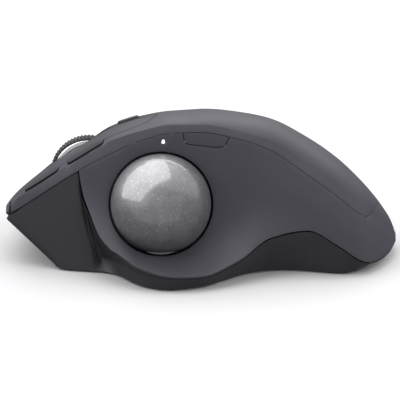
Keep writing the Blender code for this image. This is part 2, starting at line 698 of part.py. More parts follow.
# ---------------------------------------------------------------- the lower case
RIBS = (
    # where on the panels' lower border, then x and y where the wall meets the underside
    ("edge", 65.9, -25.5, 48.9), ("edge", 56, -28.0, 46.0), ("edge", 48, -29.0, 41.5),
    ("edge", 41.6, -29.9, 36.4), ("scoop", 39.6, -30.3, 34.2), ("scoop", 36.8, -31.2, 31.6),
    ("scoop", 33.2, -33.2, 28.8), ("lip", 29.4, -35.8, 26.6), ("lip", 24.5, -40.4, 23.6),
    ("lip", 19, -45.2, 18.8), ("lip", 12, -47.9, 12.0), ("lip", 5, -47.0, 5.0),
    ("lip", -2, -44.0, -2.0), ("lip", -9, -37.6, -9.0), ("lip", -15, -32.6, -14.8),
    ("lip", -21, -29.8, -20.6), ("lip", -28, -28.4, -28.0), ("lip", -36, -29.3, -36.0),
    ("lip", -44, -31.2, -44.0), ("lip", -50, -31.4, -49.6), ("lip", -55, -27.4, -54.4),
    ("lip", -60, -19.5, -58.6), ("lip", -64, -12.0, -61.4), ("lip", TAIL_Y, -8.8, -62.1),
    ("tail", 1.5, -6.8, -62.3), ("right", TAIL_Y, -4.0, -62.2), ("right", -64, 1.0, -60.9),
    ("right", -60, 7.6, -57.2), ("right", -54, 15.0, -50.6),
    ("right", -46, 22.5, -43.2), ("right", -36, 29.0, -34.0), ("right", -24, 34.6, -23.0),
    ("right", -12, 38.6, -11.6), ("right", 0, 40.8, 0.0), ("right", 12, 41.4, 11.0),
    ("right", 24, 40.8, 21.4), ("right", 36, 38.8, 31.0), ("right", 45, 33.6, 38.0),
    ("right", 52, 25.0, 42.6), ("right", 58, 16.0, 45.6), ("right", 62.4, 6.6, 47.6),
    ("right", 65.2, -4.0, 48.6), ("nose", 2.6, -13.0, 49.2),
)
RIB_STEPS = 2
WALL_ROWS = 5


def rib_point(skin, where, value):
    """(t, y) of one rib's place on the panels' border."""
    if where == "edge":
        return 1.0, value
    if where == "lip":
        return 0.0, value
    if where == "right":
        return 3.0, value
    if where == "tail":
        return value, TAIL_Y
    if where == "nose":
        return value, NOSE_Y
    line = scoop_front(skin)[:-1]
    return float(np.interp(-value, -line[:, 1], line[:, 0])), value


def underside(x):
    """Height of the case's underside: low over the plate's left, sloping up past the fold."""
    x = np.asarray(x, float)
    slope = CEILING + (x - FOLD_X) * SLOPE
    ramp = RIM_Z + (x - 7.6) / 0.8 * (CEILING - RIM_Z)
    return np.where(x < 7.6, RIM_Z, np.where(x < 8.4, np.minimum(ramp, CEILING + 0.06), slope))


def floor_top(x):
    return FLOOR + np.maximum(np.asarray(x, float) - FOLD_X, 0) * SLOPE


def case_walls(skin, steps):
    """The outer wall from the panels' border to the underside: points (rows, columns, 3)."""
    places = [rib_point(skin, where, value) for where, value, _, _ in RIBS]
    foot = smooth([(x, y) for _, _, x, y in RIBS], steps, closed=True)
    rim = []
    for k, (t, y) in enumerate(places):
        t1, y1 = places[(k + 1) % len(places)]
        same = RIBS[k][0] == RIBS[(k + 1) % len(RIBS)][0]
        for j in range(steps):
            f = j / steps
            if RIBS[k][0] == "scoop" and same:
                yy = y + (y1 - y) * f
                rim.append(rib_point(skin, "scoop", yy))
            else:
                rim.append((t + (t1 - t) * f, y + (y1 - y) * f))
    rim = np.array(rim)
    point, normal = skin.point(rim[:, 0], rim[:, 1]), skin.normal(rim[:, 0], rim[:, 1])
    up = np.clip(normal[:, 2], 0, 1)
    side = normal[:, :2] / np.linalg.norm(normal[:, :2], axis=1, keepdims=True)
    top = point.copy()
    top[:, :2] -= side * (0.5 + 0.8 * up)[:, None]
    top[:, 2] -= SHELL * up + SEAM + 0.1
    beside = np.interp(rim[:, 1], (29, 31, 40, 42), (0, 1, 1, 0)) * (rim[:, 0] <= 1)
    top[:, 1] += 0.7 * beside
    front = np.clip((rim[:, 1] - 60) / 6, 0, 1)
    top[:, 2] -= 0.7 * front
    top[:, 2] = np.maximum(top[:, 2], RIM_Z + 1.4)
    base = np.stack([foot[:, 0], foot[:, 1], underside(foot[:, 0])], axis=-1)
    rows = []
    for s in np.linspace(0, 1, WALL_ROWS + 1):
        rows.append(top + (base - top) * s)
    return np.array(rows)


def outward(loop):
    """The outward direction in plan at each point of a closed loop."""
    along = np.roll(loop, -1, axis=0) - np.roll(loop, 1, axis=0)
    side = np.stack([along[:, 1], -along[:, 0]], axis=-1) * np.sign(area2(loop))
    return side / np.linalg.norm(side, axis=1, keepdims=True)


def drawn_in(loop, by):
    """A loop of plan points, either way round, moved inwards."""
    return inset(loop, by) if area2(loop) > 0 else inset(loop[::-1], by)[::-1]


FOLD_STEP = 2.5  # spacing of the points kept along a fold


def filled(loop, z_of, spacing, folds=()):
    """Triangles that fill a plan loop, at the heights z_of(x) away from the loop itself."""
    flat = loop[:, :2]
    order = slice(None) if area2(flat) > 0 else slice(None, None, -1)
    ring = flat[order]
    low, high = ring.min(axis=0), ring.max(axis=0)
    columns = list(np.arange(low[0] + spacing / 2, high[0], spacing))
    columns = [x for x in columns if all(abs(x - f) > spacing * 0.35 for f in folds)]
    grid = [(x, y, spacing) for x in columns for y in np.arange(low[1] + 3, high[1], spacing)]
    grid += [(x, y, FOLD_STEP) for x in folds for y in np.arange(low[1], high[1], FOLD_STEP)]
    grid, clear = np.array(grid)[:, :2], np.array(grid)[:, 2] * 0.45
    gap = np.min(np.linalg.norm(grid[:, None] - ring[None], axis=2), axis=1)
    grid = grid[inside(grid, ring) & (gap > clear)]
    points = np.concatenate([ring, grid])
    edges = [(k, (k + 1) % len(ring)) for k in range(len(ring))]
    done = delaunay_2d_cdt([Vector(p) for p in points], edges, [], INSIDE, 1e-7)
    q = np.array([tuple(v) for v in done[0]])
    faces = np.array(done[2])
    z = z_of(q[:, 0])
    z[: len(ring)] = loop[order][:, 2]
    return np.column_stack([q, z]), faces


def case_bm(skin):
    wall = case_walls(skin, RIB_STEPS)
    side = outward(wall[0][:, :2])
    rows, columns = wall.shape[:2]
    along = np.roll(wall, -1, axis=1) - np.roll(wall, 1, axis=1)
    down = np.gradient(wall, axis=0)
    normal = np.cross(along, down)
    normal /= np.linalg.norm(normal, axis=-1, keepdims=True)
    out = np.sign((normal[..., :2] * side[None]).sum(axis=-1, keepdims=True))
    middle = wall - CASE_WALL * normal * out
    inner = [np.column_stack([drawn_in(wall[0][:, :2], CASE_WALL), wall[0][:, 2]])]
    end = np.zeros((columns, 3))
    for k in range(columns):
        clear = middle[:, k, 2] - floor_top(middle[:, k, 0])
        if clear[1] < 0.8:
            p = inner[0][k].copy()
            p[:2] -= side[k] * 1.2
            p[2] = floor_top(p[0])
            end[k] = p
            continue
        hit = np.nonzero(clear < 0)[0]
        j = hit[0] if len(hit) else rows - 1
        f = clear[j - 1] / (clear[j - 1] - clear[j])
        end[k] = middle[j - 1, k] + (middle[j, k] - middle[j - 1, k]) * min(f, 1.0)
        end[k, 2] = floor_top(end[k, 0])
    for s in (0.35, 0.7):
        inner.append(inner[0] + (end - inner[0]) * s)
    inner.append(end)
    rings = [*wall[::-1], *inner]
    points = [p for ring in rings for p in ring]
    faces = []
    for r in range(len(rings) - 1):
        for k in range(columns):
            j = (k + 1) % columns
            faces.append((r * columns + k, r * columns + j, (r + 1) * columns + j,
                          (r + 1) * columns + k))
    for ring, z_of, folds in ((0, underside, (7.6, 8.4)), (len(rings) - 1, floor_top, (FOLD_X,))):
        loop = rings[ring]
        q, triangles = filled(loop, z_of, 9.0, folds)
        same_way = area2(loop[:, :2]) > 0
        first = ring * columns
        index = [first + (k if same_way else columns - 1 - k) for k in range(columns)]
        index += list(range(len(points), len(points) + len(q) - columns))
        points += [*q[columns:]]
        faces += [tuple(index[c] for c in f) for f in triangles]
    return bm_of(points, faces)


def plate_outline(by=2.9):
    """The base plate's plan outline, inside the case's rim and short of the switch in front."""
    foot = smooth([(x, y) for _, _, x, y in RIBS], 4, closed=True)
    foot = foot if area2(foot) > 0 else foot[::-1]
    loop = inset(resample(foot, 3.0), by)
    loop[:, 1] = np.minimum(loop[:, 1], PLATE_FRONT_Y + (2.4 - by))
    return resample(loop, 3.2)


PLATE_FRONT_Y = 39.0
POWER_AT = (-14.0, 43.8)
EJECT_AT = (-28.0, 13.6)
EJECT_R = 6.0
SCREWS = ((-24.0, 36.0), (-24.0, -40.0), (26.0, 26.0), (22.0, -28.0))

# ---------------------------------------------------------------- the rest of the case
LEFT_HINGE = (-11.0, 19.0, 46.0)  # points on the main buttons' hinge axes
RIGHT_HINGE = (24.0, 19.0, 40.0)
FRAME_PIVOT = (2.0, 19.4, 7.4)  # cross pin that the wheel's frame presses about
CRADLE_AXIS_Z = 9.4
LUG_X = (-6.6, 10.6)
USB_AT = (-9.0, 55.6, 10.4)


def make_case(skin):
    case = add("bottom_case", case_bm(skin), "case_plastic")
    carve(case, prism_bm(plate_outline(1.8), -1.0, CEILING + 0.03))
    y0, y1 = BARREL_Y
    housing = box_bm((HINGE_X - 4.2, y0 - 2, FLOOR - 0.6), (HINGE_X + 4.2, y1 + 2, HINGE_Z + 3.6))
    for v in housing.verts:
        if v.co.x > HINGE_X and v.co.z < HINGE_Z:
            v.co.z += 1.3  # stays above the sloping underside
    join_on(case, housing)
    for x, y in SCREWS:
        z = float(floor_top(x))
        boss = rod_bm((x, y, z - 0.6), (x, y, z + 5.0), 2.6, 12)
        for v in boss.verts:
            if v.co.z < z and x > FOLD_X:
                v.co.z += (v.co.x - x) * SLOPE
        join_on(case, boss)
    for x in LUG_X:
        low = (x - 0.9, FRAME_PIVOT[1] - 2.4, float(floor_top(x)) - 0.5)
        join_on(case, box_bm(low, (x + 0.9, FRAME_PIVOT[1] + 2.4, FRAME_PIVOT[2] + 2.2)))
    pin_y, pin_z = FRAME_PIVOT[1:]
    carve(case, rod_bm((LUG_X[0] - 2, pin_y, pin_z), (LUG_X[1] + 2, pin_y, pin_z), 1.3, 12))
    groove = rod_bm((HINGE_X, y0 - 0.4, HINGE_Z), (HINGE_X, y1 + 0.4, HINGE_Z), BARREL_R + GAP, 20)
    carve(case, groove)
    x, y = EJECT_AT
    carve(case, rod_bm((x, y, -1), (x, y, 8), EJECT_R, 24))
    for x, y in SCREWS:
        z = float(floor_top(x))
        carve(case, rod_bm((x, y, z - 6.0), (x, y, z + 1.6), 2.1, 12))
        carve(case, rod_bm((x, y, z + 1.0), (x, y, z + 6.0), 1.1, 12))
    x, y, z = USB_AT
    carve(case, box_bm((x - 4.25, y - 3, z - 1.85), (x + 4.25, y + 12, z + 1.85)))
    x, y = POWER_AT
    carve(case, box_bm((x - 3.0, y - 1.1, 0), (x + 3.0, y + 1.1, 6)))
    carve(case, box_bm((x - 4.7, y - 1.55, -1), (x + 4.7, y + 1.55, RIM_Z + 0.62)))
    return case


def make_base():
    plate = add("base_plate", prism_bm(plate_outline(), PAD_TOP, PLATE_TOP), "steel",
                (HINGE_X, 0, HINGE_Z))
    y0, y1 = BARREL_Y
    groove = rod_bm((HINGE_X, y0 - 1, HINGE_Z), (HINGE_X, y1 + 1, HINGE_Z), BARREL_R + GAP, 20)
    carve(plate, groove)
    x, y = EJECT_AT
    carve(plate, rod_bm((x, y, 0), (x, y, 4), EJECT_R + 1, 24))
    pad = prism_bm(plate_outline(3.9), 0, PAD_TOP - 0.05)
    pad = add("plate_pad", pad, "black_rubber")
    carve(pad, rod_bm((x, y, -1), (x, y, 4), EJECT_R + 1.6, 24))
    bar = rod_bm((HINGE_X, y0, HINGE_Z), (HINGE_X, y1, HINGE_Z), BARREL_R, 20)
    add("hinge_barrel", bar, "magnet", (HINGE_X, 0, HINGE_Z))


def make_screws():
    for number, (x, y) in enumerate(SCREWS, 1):
        z = float(floor_top(x))
        head, tip = z + (0.1 if x < FOLD_X else 1.0), z + 4.6
        profile = ((0, head - 1.5), (1.8, head - 1.5), (1.8, head), (0.8, head + 0.7), (0.8, tip),
                   (0, tip + 0.6))
        add(f"case_screw_{number}", turned_bm(profile, 12, Matrix.Translation((x, y, 0))), "steel")


# ---------------------------------------------------------------- the trackball and its sensor
SOCKET_R = (17.7, 19.1)
SOCKET_WINDOW = 14  # degrees from its axis to the edge of the sensor's window
SOCKET_RIM = 113
BEARING_R = 1.2


def ball_frame():
    """Matrix at the ball's centre with Z towards the thumb, along the socket's axis."""
    a = math.radians(BALL_TILT)
    return frame_at(BALL_AT, (-math.cos(a), 0, math.sin(a)))


def make_ball():
    ball = bmesh.new()
    bmesh.ops.create_icosphere(ball, subdivisions=4, radius=BALL_R)
    add("trackball", moved(ball, Matrix.Translation(BALL_AT)), "ball_resin", BALL_AT)
    place = ball_frame()
    r0, r1 = SOCKET_R
    arc = np.radians(np.linspace(180 - SOCKET_WINDOW, SOCKET_RIM, 7))
    profile = [(r0 * math.sin(a), r0 * math.cos(a)) for a in arc]
    profile += [(r1 * math.sin(a), r1 * math.cos(a)) for a in arc[::-1]]
    socket = add("ball_socket", turned_bm(profile, 28, place), "inner_plastic", BALL_AT)
    for side in (-1, 1):
        x, y = BALL_AT[0] + 10.0, BALL_AT[1] + side * 9.0
        join_on(socket, rod_bm((x, y, FLOOR + GAP), (x, y, 11.0), 1.8, 12))
    centres = []
    for k in range(3):
        a, lean = math.radians(90 + 120 * k), math.radians(132)
        aim = Vector((math.sin(lean) * math.cos(a), math.sin(lean) * math.sin(a), math.cos(lean)))
        aim = place.to_3x3() @ aim
        at = Vector(BALL_AT)
        carve(socket, rod_bm(at + aim * 16, at + aim * 21, BEARING_R + GAP, 12))
        centres.append(at + aim * (BALL_R + GAP + BEARING_R))
    x, y = EJECT_AT
    carve(socket, rod_bm((x, y, 0), (x, y, 14), EJECT_R - 0.6, 20))
    for number, centre in enumerate(centres, 1):
        bm = bmesh.new()
        bmesh.ops.create_icosphere(bm, subdivisions=1, radius=BEARING_R)
        add(f"socket_bearing_{number}", moved(bm, Matrix.Translation(centre)), "ceramic")
    back = -r1
    lens = box_bm((-4.0, -5.0, back - 2.4), (4.0, 5.0, back - 0.4))
    add("sensor_lens", moved(lens, place), "clear_lens")
    chip = box_bm((-4.5, -5.5, back - 4.6), (4.5, 5.5, back - 2.7))
    add("sensor_chip", moved(chip, place), "inner_plastic")
    board = box_bm((-7.5, -11.0, back - 6.0), (7.5, 11.0, back - 4.9))
    add("sensor_board", moved(board, place), "board_green")


# ---------------------------------------------------------------- the scroll wheel
TIRE = (WHEEL_R, 11.2)  # outer and inner radius
AXLE_R = 1.1
RIDGES = 24
ARM_Z = (8.2, 9.4)  # the frame's arm over the middle-click switch


def make_wheel():
    x, y, z = WHEEL_AT
    place = frame_at(WHEEL_AT, (1, 0, 0))
    half = WHEEL_WIDTH / 2
    outline = []
    for k in range(RIDGES):
        for part, r in ((0, WHEEL_R), (0.5, WHEEL_R), (0.62, WHEEL_R - 0.6), (0.88, WHEEL_R - 0.6)):
            a = 2 * math.pi * (k + part) / RIDGES
            outline.append((r * math.cos(a), r * math.sin(a)))
    tire = add("wheel_tire", moved(prism_bm(outline, -half + 1.2, half - 1.2), place),
               "black_rubber", WHEEL_AT)
    carve(tire, rod_bm((x - 5, y, z), (x + 5, y, z), TIRE[1], 28))
    rim = ((AXLE_R + GAP, -half + 0.9), (3.2, -half + 0.6), (3.2, -1.0), (9.4, -1.0), (9.6, -half),
           (11.9, -half), (12.2, -half + 0.5), (12.0, -half + 0.9), (TIRE[1] - GAP, -half + 0.9))
    profile = [*rim, *((r, -h) for r, h in reversed(rim))]
    add("wheel_rim", turned_bm(profile, 28, place), "bright_metal", WHEEL_AT)
    add("wheel_axle", rod_bm((x - 5.4, y, z), (x + 5.4, y, z), AXLE_R, 14), "steel", WHEEL_AT)

    arm_in, arm_out = half + 0.5, half + 1.9
    low = CRADLE_AXIS_Z - 0.9
    cradle = add("wheel_cradle", box_bm((x - arm_out, y - 3.2, low), (x + arm_out, y + 3.2, low + 1.6)),
                 "inner_plastic", (x, y, CRADLE_AXIS_Z))
    for side in (-1, 1):
        a, b = sorted((x + side * arm_in, x + side * arm_out))
        join_on(cradle, box_bm((a, y - 3.2, low + 0.5), (b, y + 3.2, z + 3.0)))
    join_on(cradle, rod_bm((x, 28.2, CRADLE_AXIS_Z), (x, 46.2, CRADLE_AXIS_Z), 1.0, 12))
    carve(cradle, rod_bm((x - 9, y, z), (x + 9, y, z), AXLE_R + GAP, 14))

    py, pz = FRAME_PIVOT[1:]
    tray = (FLOOR + 0.5, FLOOR + 2.0)
    frame = add("wheel_frame", box_bm((x - 4.4, 21.0, tray[0]), (x + 4.4, 46.6, tray[1])),
                "case_plastic", FRAME_PIVOT)
    join_on(frame, box_bm((x - 4.4, py - 2.2, tray[0] + 0.6), (x + 4.4, 23.0, pz + 1.6)))
    join_on(frame, rod_bm((LUG_X[0] - 0.6, py, pz), (LUG_X[1] + 0.6, py, pz), 1.0, 12))
    for y0, y1 in ((28.6, 30.6), (43.8, 45.8)):
        join_on(frame, box_bm((x - 2.6, y0, tray[1] - 0.4), (x + 2.6, y1, CRADLE_AXIS_Z + 2.0)))
    join_on(frame, box_bm((x + 2.8, 41.8, tray[1] - 0.4), (x + 4.4, 44.2, ARM_Z[1])))
    join_on(frame, box_bm((x + 2.8, 41.8, ARM_Z[0]), (x + 10.2, 44.2, ARM_Z[1])))
    carve(frame, rod_bm((x, 27.5, CRADLE_AXIS_Z), (x, 47.0, CRADLE_AXIS_Z), 1.3, 12))
    add("wheel_encoder", box_bm((x - arm_out - 3.4, y - 4.2, z - 5.0),
                                (x - arm_out - 0.3, y + 4.2, z + 4.2)), "inner_plastic")
    add("encoder_disc", rod_bm((x + arm_out + 0.2, y, z), (x + arm_out + 0.9, y, z), 4.6, 24),
        "inner_plastic", WHEEL_AT)


# ---------------------------------------------------------------- switches, boards and battery
PLUNGER = (0.7, 1.3)  # half sizes in plan
SWITCH_HALF = (3.2, 6.4)
SWITCH_H = 6.2
MIDDLE_SWITCH_AT = (10.4, 42.6)
PRECISION_SWITCH_AT = (-1.4, 34.6)  # (y, h) behind its button
SWITCH_AT = {"left": (-12.0, 50.0), "right": (16.0, 41.0)}


def roof(skin, x, y, margin=0.35):
    """Height just under a top panel at (x, y)."""
    t = skin.t_at_x(np.array([x]), np.array([y]))
    point, normal = skin.point(t, np.array([y]))[0], skin.normal(t, np.array([y]))[0]
    return float(point[2] - (SHELL + margin) / max(normal[2], 0.3))


def make_switches(skin):
    hx, hy = SWITCH_HALF
    px, py = PLUNGER
    for side, (x, y) in SWITCH_AT.items():
        corners = [roof(skin, x + sx * hx, y + sy * hy) for sx in (-1, 1) for sy in (-1, 1)]
        top = min(*corners, roof(skin, x, y) - 1.0) - 0.8
        body = box_bm((x - hx, y - hy, top - SWITCH_H), (x + hx, y + hy, top))
        body = add(f"{side}_switch", body, "inner_plastic")
        well = box_bm((x - px - GAP, y - py - GAP, top - 2.2), (x + px + GAP, y + py + GAP, top + 1))
        carve(body, well)
        high = min(roof(skin, x + sx * px, y + sy * py, 0.3) for sx in (-1, 1) for sy in (-1, 1))
        plunger = box_bm((x - px, y - py, top - 1.2), (x + px, y + py, high))
        add(f"{side}_plunger", plunger, "key_gloss", (x, y, top))
        low = top - SWITCH_H - 0.1
        board = box_bm((x - 4.6, y - 8.5, low - 1.0), (x + 4.6, y + 8.0, low))
        add(f"{side}_switch_board", board, "board_green")


def add_tact(name, x, y, top, half=2.2, height=2.6, place=None):
    """A small square push switch whose round nub ends at the given height."""
    place = place or Matrix()
    body = moved(box_bm((x - half, y - half, top - height), (x + half, y + half, top - 0.7)), place)
    join_on(add(name, body, "inner_plastic"),
            moved(rod_bm((x, y, top - 1.2), (x, y, top), 0.9, 12), place))


def side_switch_at(skin, name):
    """The top of the nub of the switch under a side key."""
    x, y = sum(KEY_X) / 2 + 0.5, sum(KEYS[name]) / 2
    return x, y, roof(skin, x, y, 0) - 2.3


def make_side_keys_board(skin):
    spots = {name: side_switch_at(skin, name) for name in KEYS}
    for name, (x, y, top) in spots.items():
        add_tact(name.replace("button", "switch"), x, y, top, 1.6, 2.2)
    (x, y0, z0), (_, y1, z1) = spots.values()
    z0, z1 = z0 - 2.6, z1 - 2.6
    rise = (z1 - z0) / (y1 - y0)
    bm = box_bm((x - 1.8, y0 - 5, -0.8), (x + 2.6, y1 + 3.2, 0))
    for v in bm.verts:
        v.co.z += z0 + (v.co.y - y0) * rise - 1.0
    add("side_key_board", bm, "board_green")


def make_boards():
    z = 16.4
    add("main_board", box_bm((14.0, -24.0, z), (36.0, 33.5, z + 1.2)), "board_green")
    chips = {"processor_chip": (18.0, -2.0, 7.0, 7.0, 1.2), "radio_chip": (28.0, 8.0, 5.0, 5.0, 1.0),
             "charger_chip": (24.0, -16.0, 4.0, 4.0, 1.0)}
    for name, (x, y, w, d, h) in chips.items():
        low = (x, y, z + 1.25)
        add(name, box_bm(low, (x + w, y + d, z + 1.25 + h)), "inner_plastic")
    x, y, zu = USB_AT
    shell = add("usb_port", box_bm((x - 3.9, y - 2.6, zu - 1.5), (x + 3.9, y + 3.0, zu + 1.5)), "steel")
    carve(shell, box_bm((x - 3.5, y - 1.6, zu - 1.1), (x + 3.5, y + 9, zu + 1.1)))
    add("usb_board", box_bm((x - 6.0, y - 12.0, zu + 1.8), (x + 6.0, y + 2.0, zu + 2.8)), "board_green")
    battery = box_bm((-20.0, -46.0, FLOOR + 0.5), (2.4, -14.0, FLOOR + 6.5))
    battery = add("battery", battery, "battery_silver")
    bevel = battery.modifiers.new("rounding", "BEVEL")
    bevel.width = 1.4 * MM
    bevel.segments = 2
    add("battery_plug", box_bm((15.0, -22.0, z + 1.25), (19.0, -17.5, z + 4.0)), "white_lens")
    route = smooth([(-2.0, -12.8, 9.0), (2.0, -8.0, 14.0), (8.0, -11.0, 18.0), (14.5, -19.8, 18.9)], 5)
    for number, shift in enumerate((-0.6, 0.6), 1):
        points = [Vector(p) + Vector((0, 0, shift)) for p in route]
        add(f"battery_lead_{number}", tube_bm(points, 0.4, 6), "black_rubber")


def tube_bm(points, radius, sides):
    bm = bmesh.new()
    rings = []
    for k, p in enumerate(points):
        ahead = (points[min(k + 1, len(points) - 1)] - points[max(k - 1, 0)]).normalized()
        place = frame_at(p, ahead, (0, 0, 1))
        angles = (2 * math.pi * j / sides for j in range(sides))
        rings.append([bm.verts.new(place @ Vector((radius * math.cos(a), radius * math.sin(a), 0)))
                      for a in angles])
    for lower, upper in zip(rings, rings[1:]):
        for j in range(sides):
            i = (j + 1) % sides
            bm.faces.new((lower[j], lower[i], upper[i], upper[j]))
    bm.faces.new(rings[0])
    bm.faces.new(rings[-1])
    return bm


def surface_at(skin, spot):
    """The point and outward normal of the thumb side at (y, h)."""
    t, y = on_side(skin, np.array([spot])).T
    return Vector(skin.point(t, y)[0]), Vector(skin.normal(t, y)[0])


def make_small_switches(skin):
    x, y = (sum(pair) / 2 for pair in zip(*CHANNEL_KEY))
    add_tact("channel_switch", x, y, roof(skin, x, y, 0) - 0.82, 1.7)
    for number, lx in enumerate((x - 4.6, x + 4.6), 1):
        high = roof(skin, lx, y)
        add(f"channel_light_{number}", rod_bm((lx, y, high - 3), (lx, y, high), 0.6, 10), "white_lens")
    x, y = MIDDLE_SWITCH_AT
    add_tact("middle_click_switch", x, y, ARM_Z[0] - 0.45, 1.6, 2.4)
    point, normal = surface_at(skin, LED_AT)
    pipe = rod_bm(point - normal * 3.4, point - normal * 0.1, 0.45, 12)
    add("status_light_pipe", pipe, "white_lens")
    point, normal = surface_at(skin, PRECISION_SWITCH_AT)
    place = frame_at(point - normal * (SHELL + 0.4), normal, (0, 1, 0))
    add_tact("precision_switch", 0, 0, 0, 1.8, 2.4, place)
    x, y = POWER_AT
    body = box_bm((x - 4.2, y - 1.9, FLOOR + 0.1), (x + 4.2, y + 1.9, FLOOR + 3.0))
    add("power_switch", body, "inner_plastic")
    knob = box_bm((x - 3.2, y - 1.2, RIM_Z - 0.3), (x + 0.6, y + 1.2, RIM_Z + 0.3))
    knob = add("power_knob", knob, "key_gloss", (x, y, RIM_Z))
    join_on(knob, box_bm((x - 2.2, y - 0.8, RIM_Z), (x - 0.4, y + 0.8, FLOOR - 0.1)))


def main():
    for obj in list(bpy.data.objects):
        bpy.data.objects.remove(obj, do_unlink=True)
    skin = Skin()
    make_panels(skin)
    make_case(skin)
    make_base()
    make_screws()
    make_ball()
    make_wheel()
    make_switches(skin)
    make_side_keys_board(skin)
    make_boards()
    make_small_switches(skin)


main()
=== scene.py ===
"""The looks of a thumb trackball mouse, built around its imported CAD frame.

The outer shells are made again with a fine surface, in millimetres, from nearly the same
sections as the CAD model's, and scaled by MM. The bottom case has a wall drawn in beside the
ball, which the CAD's has not. The pieces inside keep their CAD shapes and get materials.
"""

import json
import math

import bmesh
import bpy
import numpy as np
from mathutils import Matrix, Vector
from mathutils.geometry import delaunay_2d_cdt

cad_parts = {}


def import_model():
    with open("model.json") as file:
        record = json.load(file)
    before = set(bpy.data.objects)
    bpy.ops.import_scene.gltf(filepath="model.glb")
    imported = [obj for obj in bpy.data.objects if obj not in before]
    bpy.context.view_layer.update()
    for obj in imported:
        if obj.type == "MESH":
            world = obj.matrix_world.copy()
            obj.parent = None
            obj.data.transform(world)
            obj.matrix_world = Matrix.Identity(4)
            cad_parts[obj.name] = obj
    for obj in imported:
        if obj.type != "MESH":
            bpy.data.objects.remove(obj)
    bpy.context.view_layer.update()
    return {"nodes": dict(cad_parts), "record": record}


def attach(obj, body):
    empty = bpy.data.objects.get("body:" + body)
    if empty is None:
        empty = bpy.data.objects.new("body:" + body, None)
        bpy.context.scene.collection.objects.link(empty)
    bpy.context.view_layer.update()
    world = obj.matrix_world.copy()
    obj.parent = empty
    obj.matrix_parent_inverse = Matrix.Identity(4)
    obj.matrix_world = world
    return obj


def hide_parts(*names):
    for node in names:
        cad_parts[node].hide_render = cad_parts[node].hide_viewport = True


MM = 0.001
INSIDE = 1  # delaunay_2d_cdt's output type for the inside of a closed edge
NOSE_Y = 66.4
TAIL_Y = -66.1
SHELL = 1.6  # thickness of the outer panels
PANEL_DEPTH = 0.8  # thickness shown at the thumb panel's and palm cover's lips
CASE_WALL = 1.6
BALL_R = 17.0
BALL_AT = (-30.0, 13.6, 24.8)
BALL_TILT = 20.0
OPENING_R = 17.6
WHEEL_R = 13.0
WHEEL_AT = (2.0, 38.1, 24.8)
WHEEL_WIDTH = 7.0
SLOPE = math.tan(math.radians(20.0))
RIM_Z = 0.7
CEILING = 2.5
FLOOR = 3.7
HINGE_X = 8.0
HINGE_Z = 3.8
FOLD_X = HINGE_X + 1.3 * math.tan(math.radians(10.0))
STEP_X = (7.6, 8.4)  # where the underside steps up from the rim to the ceiling, beside the hinge

STATIONS = (
    # y     lip            edge           crease         right         crown        flank        angles
    (66.4, (-22.9, 17.9), (-22.5, 18.2), (-21.0, 19.6), (-7.0, 15.6), (0.20, -0.2), (0.20, 0.08), (70, 75)),
    (64.0, (-23.4, 17.0), (-22.6, 19.2), (-21.5, 22.2), (6.0, 14.6), (0.25, -0.3), (0.20, 0.07), (70, 75)),
    (56.0, (-26.0, 14.0), (-23.0, 24.4), (-21.5, 28.3), (27.0, 14.4), (0.30, 1.0), (0.20, 0.05), (62, 75)),
    (48.0, (-30.5, 12.5), (-23.4, 30.0), (-21.5, 33.6), (40.0, 16.2), (0.30, 1.8), (0.20, 0.055), (55, 75)),
    (41.2, (-34.6, 15.0), (-23.6, 34.4), (-21.6, 38.0), (45.0, 17.6), (0.30, 2.6), (0.20, 0.04), (48, 75)),
    (30.0, (-41.2, 12.1), (-23.8, 40.7), (-21.5, 44.7), (48.2, 19.0), (0.25, 2.5), (0.10, 0.13), (38, 75)),
    (20.0, (-48.0, 8.1), (-23.2, 45.0), (-21.3, 48.0), (49.63, 19.2), (0.20, 2.9), (0.06, 0.18), (18, 77)),
    (10.0, (-49.9, 6.0), (-22.8, 47.5), (-21.0, 50.1), (49.83, 19.2), (0.17, 3.2), (0.045, 0.20), (14, 78)),
    (0.0, (-48.5, 5.7), (-22.8, 47.7), (-21.0, 50.2), (49.4, 19.0), (0.17, 4.5), (0.045, 0.21), (15, 77)),
    (-12.0, (-42.2, 8.5), (-23.2, 45.7), (-21.3, 48.0), (46.8, 18.2), (0.17, 7.6), (0.045, 0.21), (30, 74)),
    (-24.0, (-35.0, 14.6), (-24.7, 41.6), (-22.5, 44.8), (42.6, 17.0), (0.17, 9.6), (0.045, 0.21), (60, 70)),
    (-36.0, (-33.0, 16.2), (-27.5, 34.1), (-24.5, 37.6), (36.5, 14.8), (0.17, 10.4), (0.045, 0.21), (75, 66)),
    (-46.0, (-34.2, 11.3), (-29.0, 27.0), (-26.0, 31.0), (29.0, 11.6), (0.17, 9.8), (0.045, 0.21), (78, 64)),
    (-54.0, (-33.5, 5.6), (-28.5, 19.6), (-25.0, 23.4), (20.0, 8.6), (0.17, 9.0), (0.045, 0.21), (80, 62)),
    (-60.0, (-26.6, 3.3), (-23.0, 13.0), (-19.5, 16.2), (10.5, 6.4), (0.17, 7.4), (0.045, 0.21), (80, 62)),
    (-64.0, (-18.0, 3.2), (-16.0, 7.6), (-13.8, 9.6), (2.0, 5.0), (0.17, 6.0), (0.045, 0.21), (80, 62)),
    (-66.3, (-9.5, 4.3), (-9.0, 4.7), (-8.2, 5.1), (-6.0, 4.6), (0.17, 0.4), (0.045, 0.21), (80, 62)),
)
PIECE_STEPS = 48  # samples along each of a section's three curves
ROW_STEP = 0.5  # spacing of the section rows
CORNER_BLEND = 1.8  # how far from a crease the panels' walls start to lean towards its mitre
CREASE_ROUND = 0.26  # how softly the edge and the crease are rounded


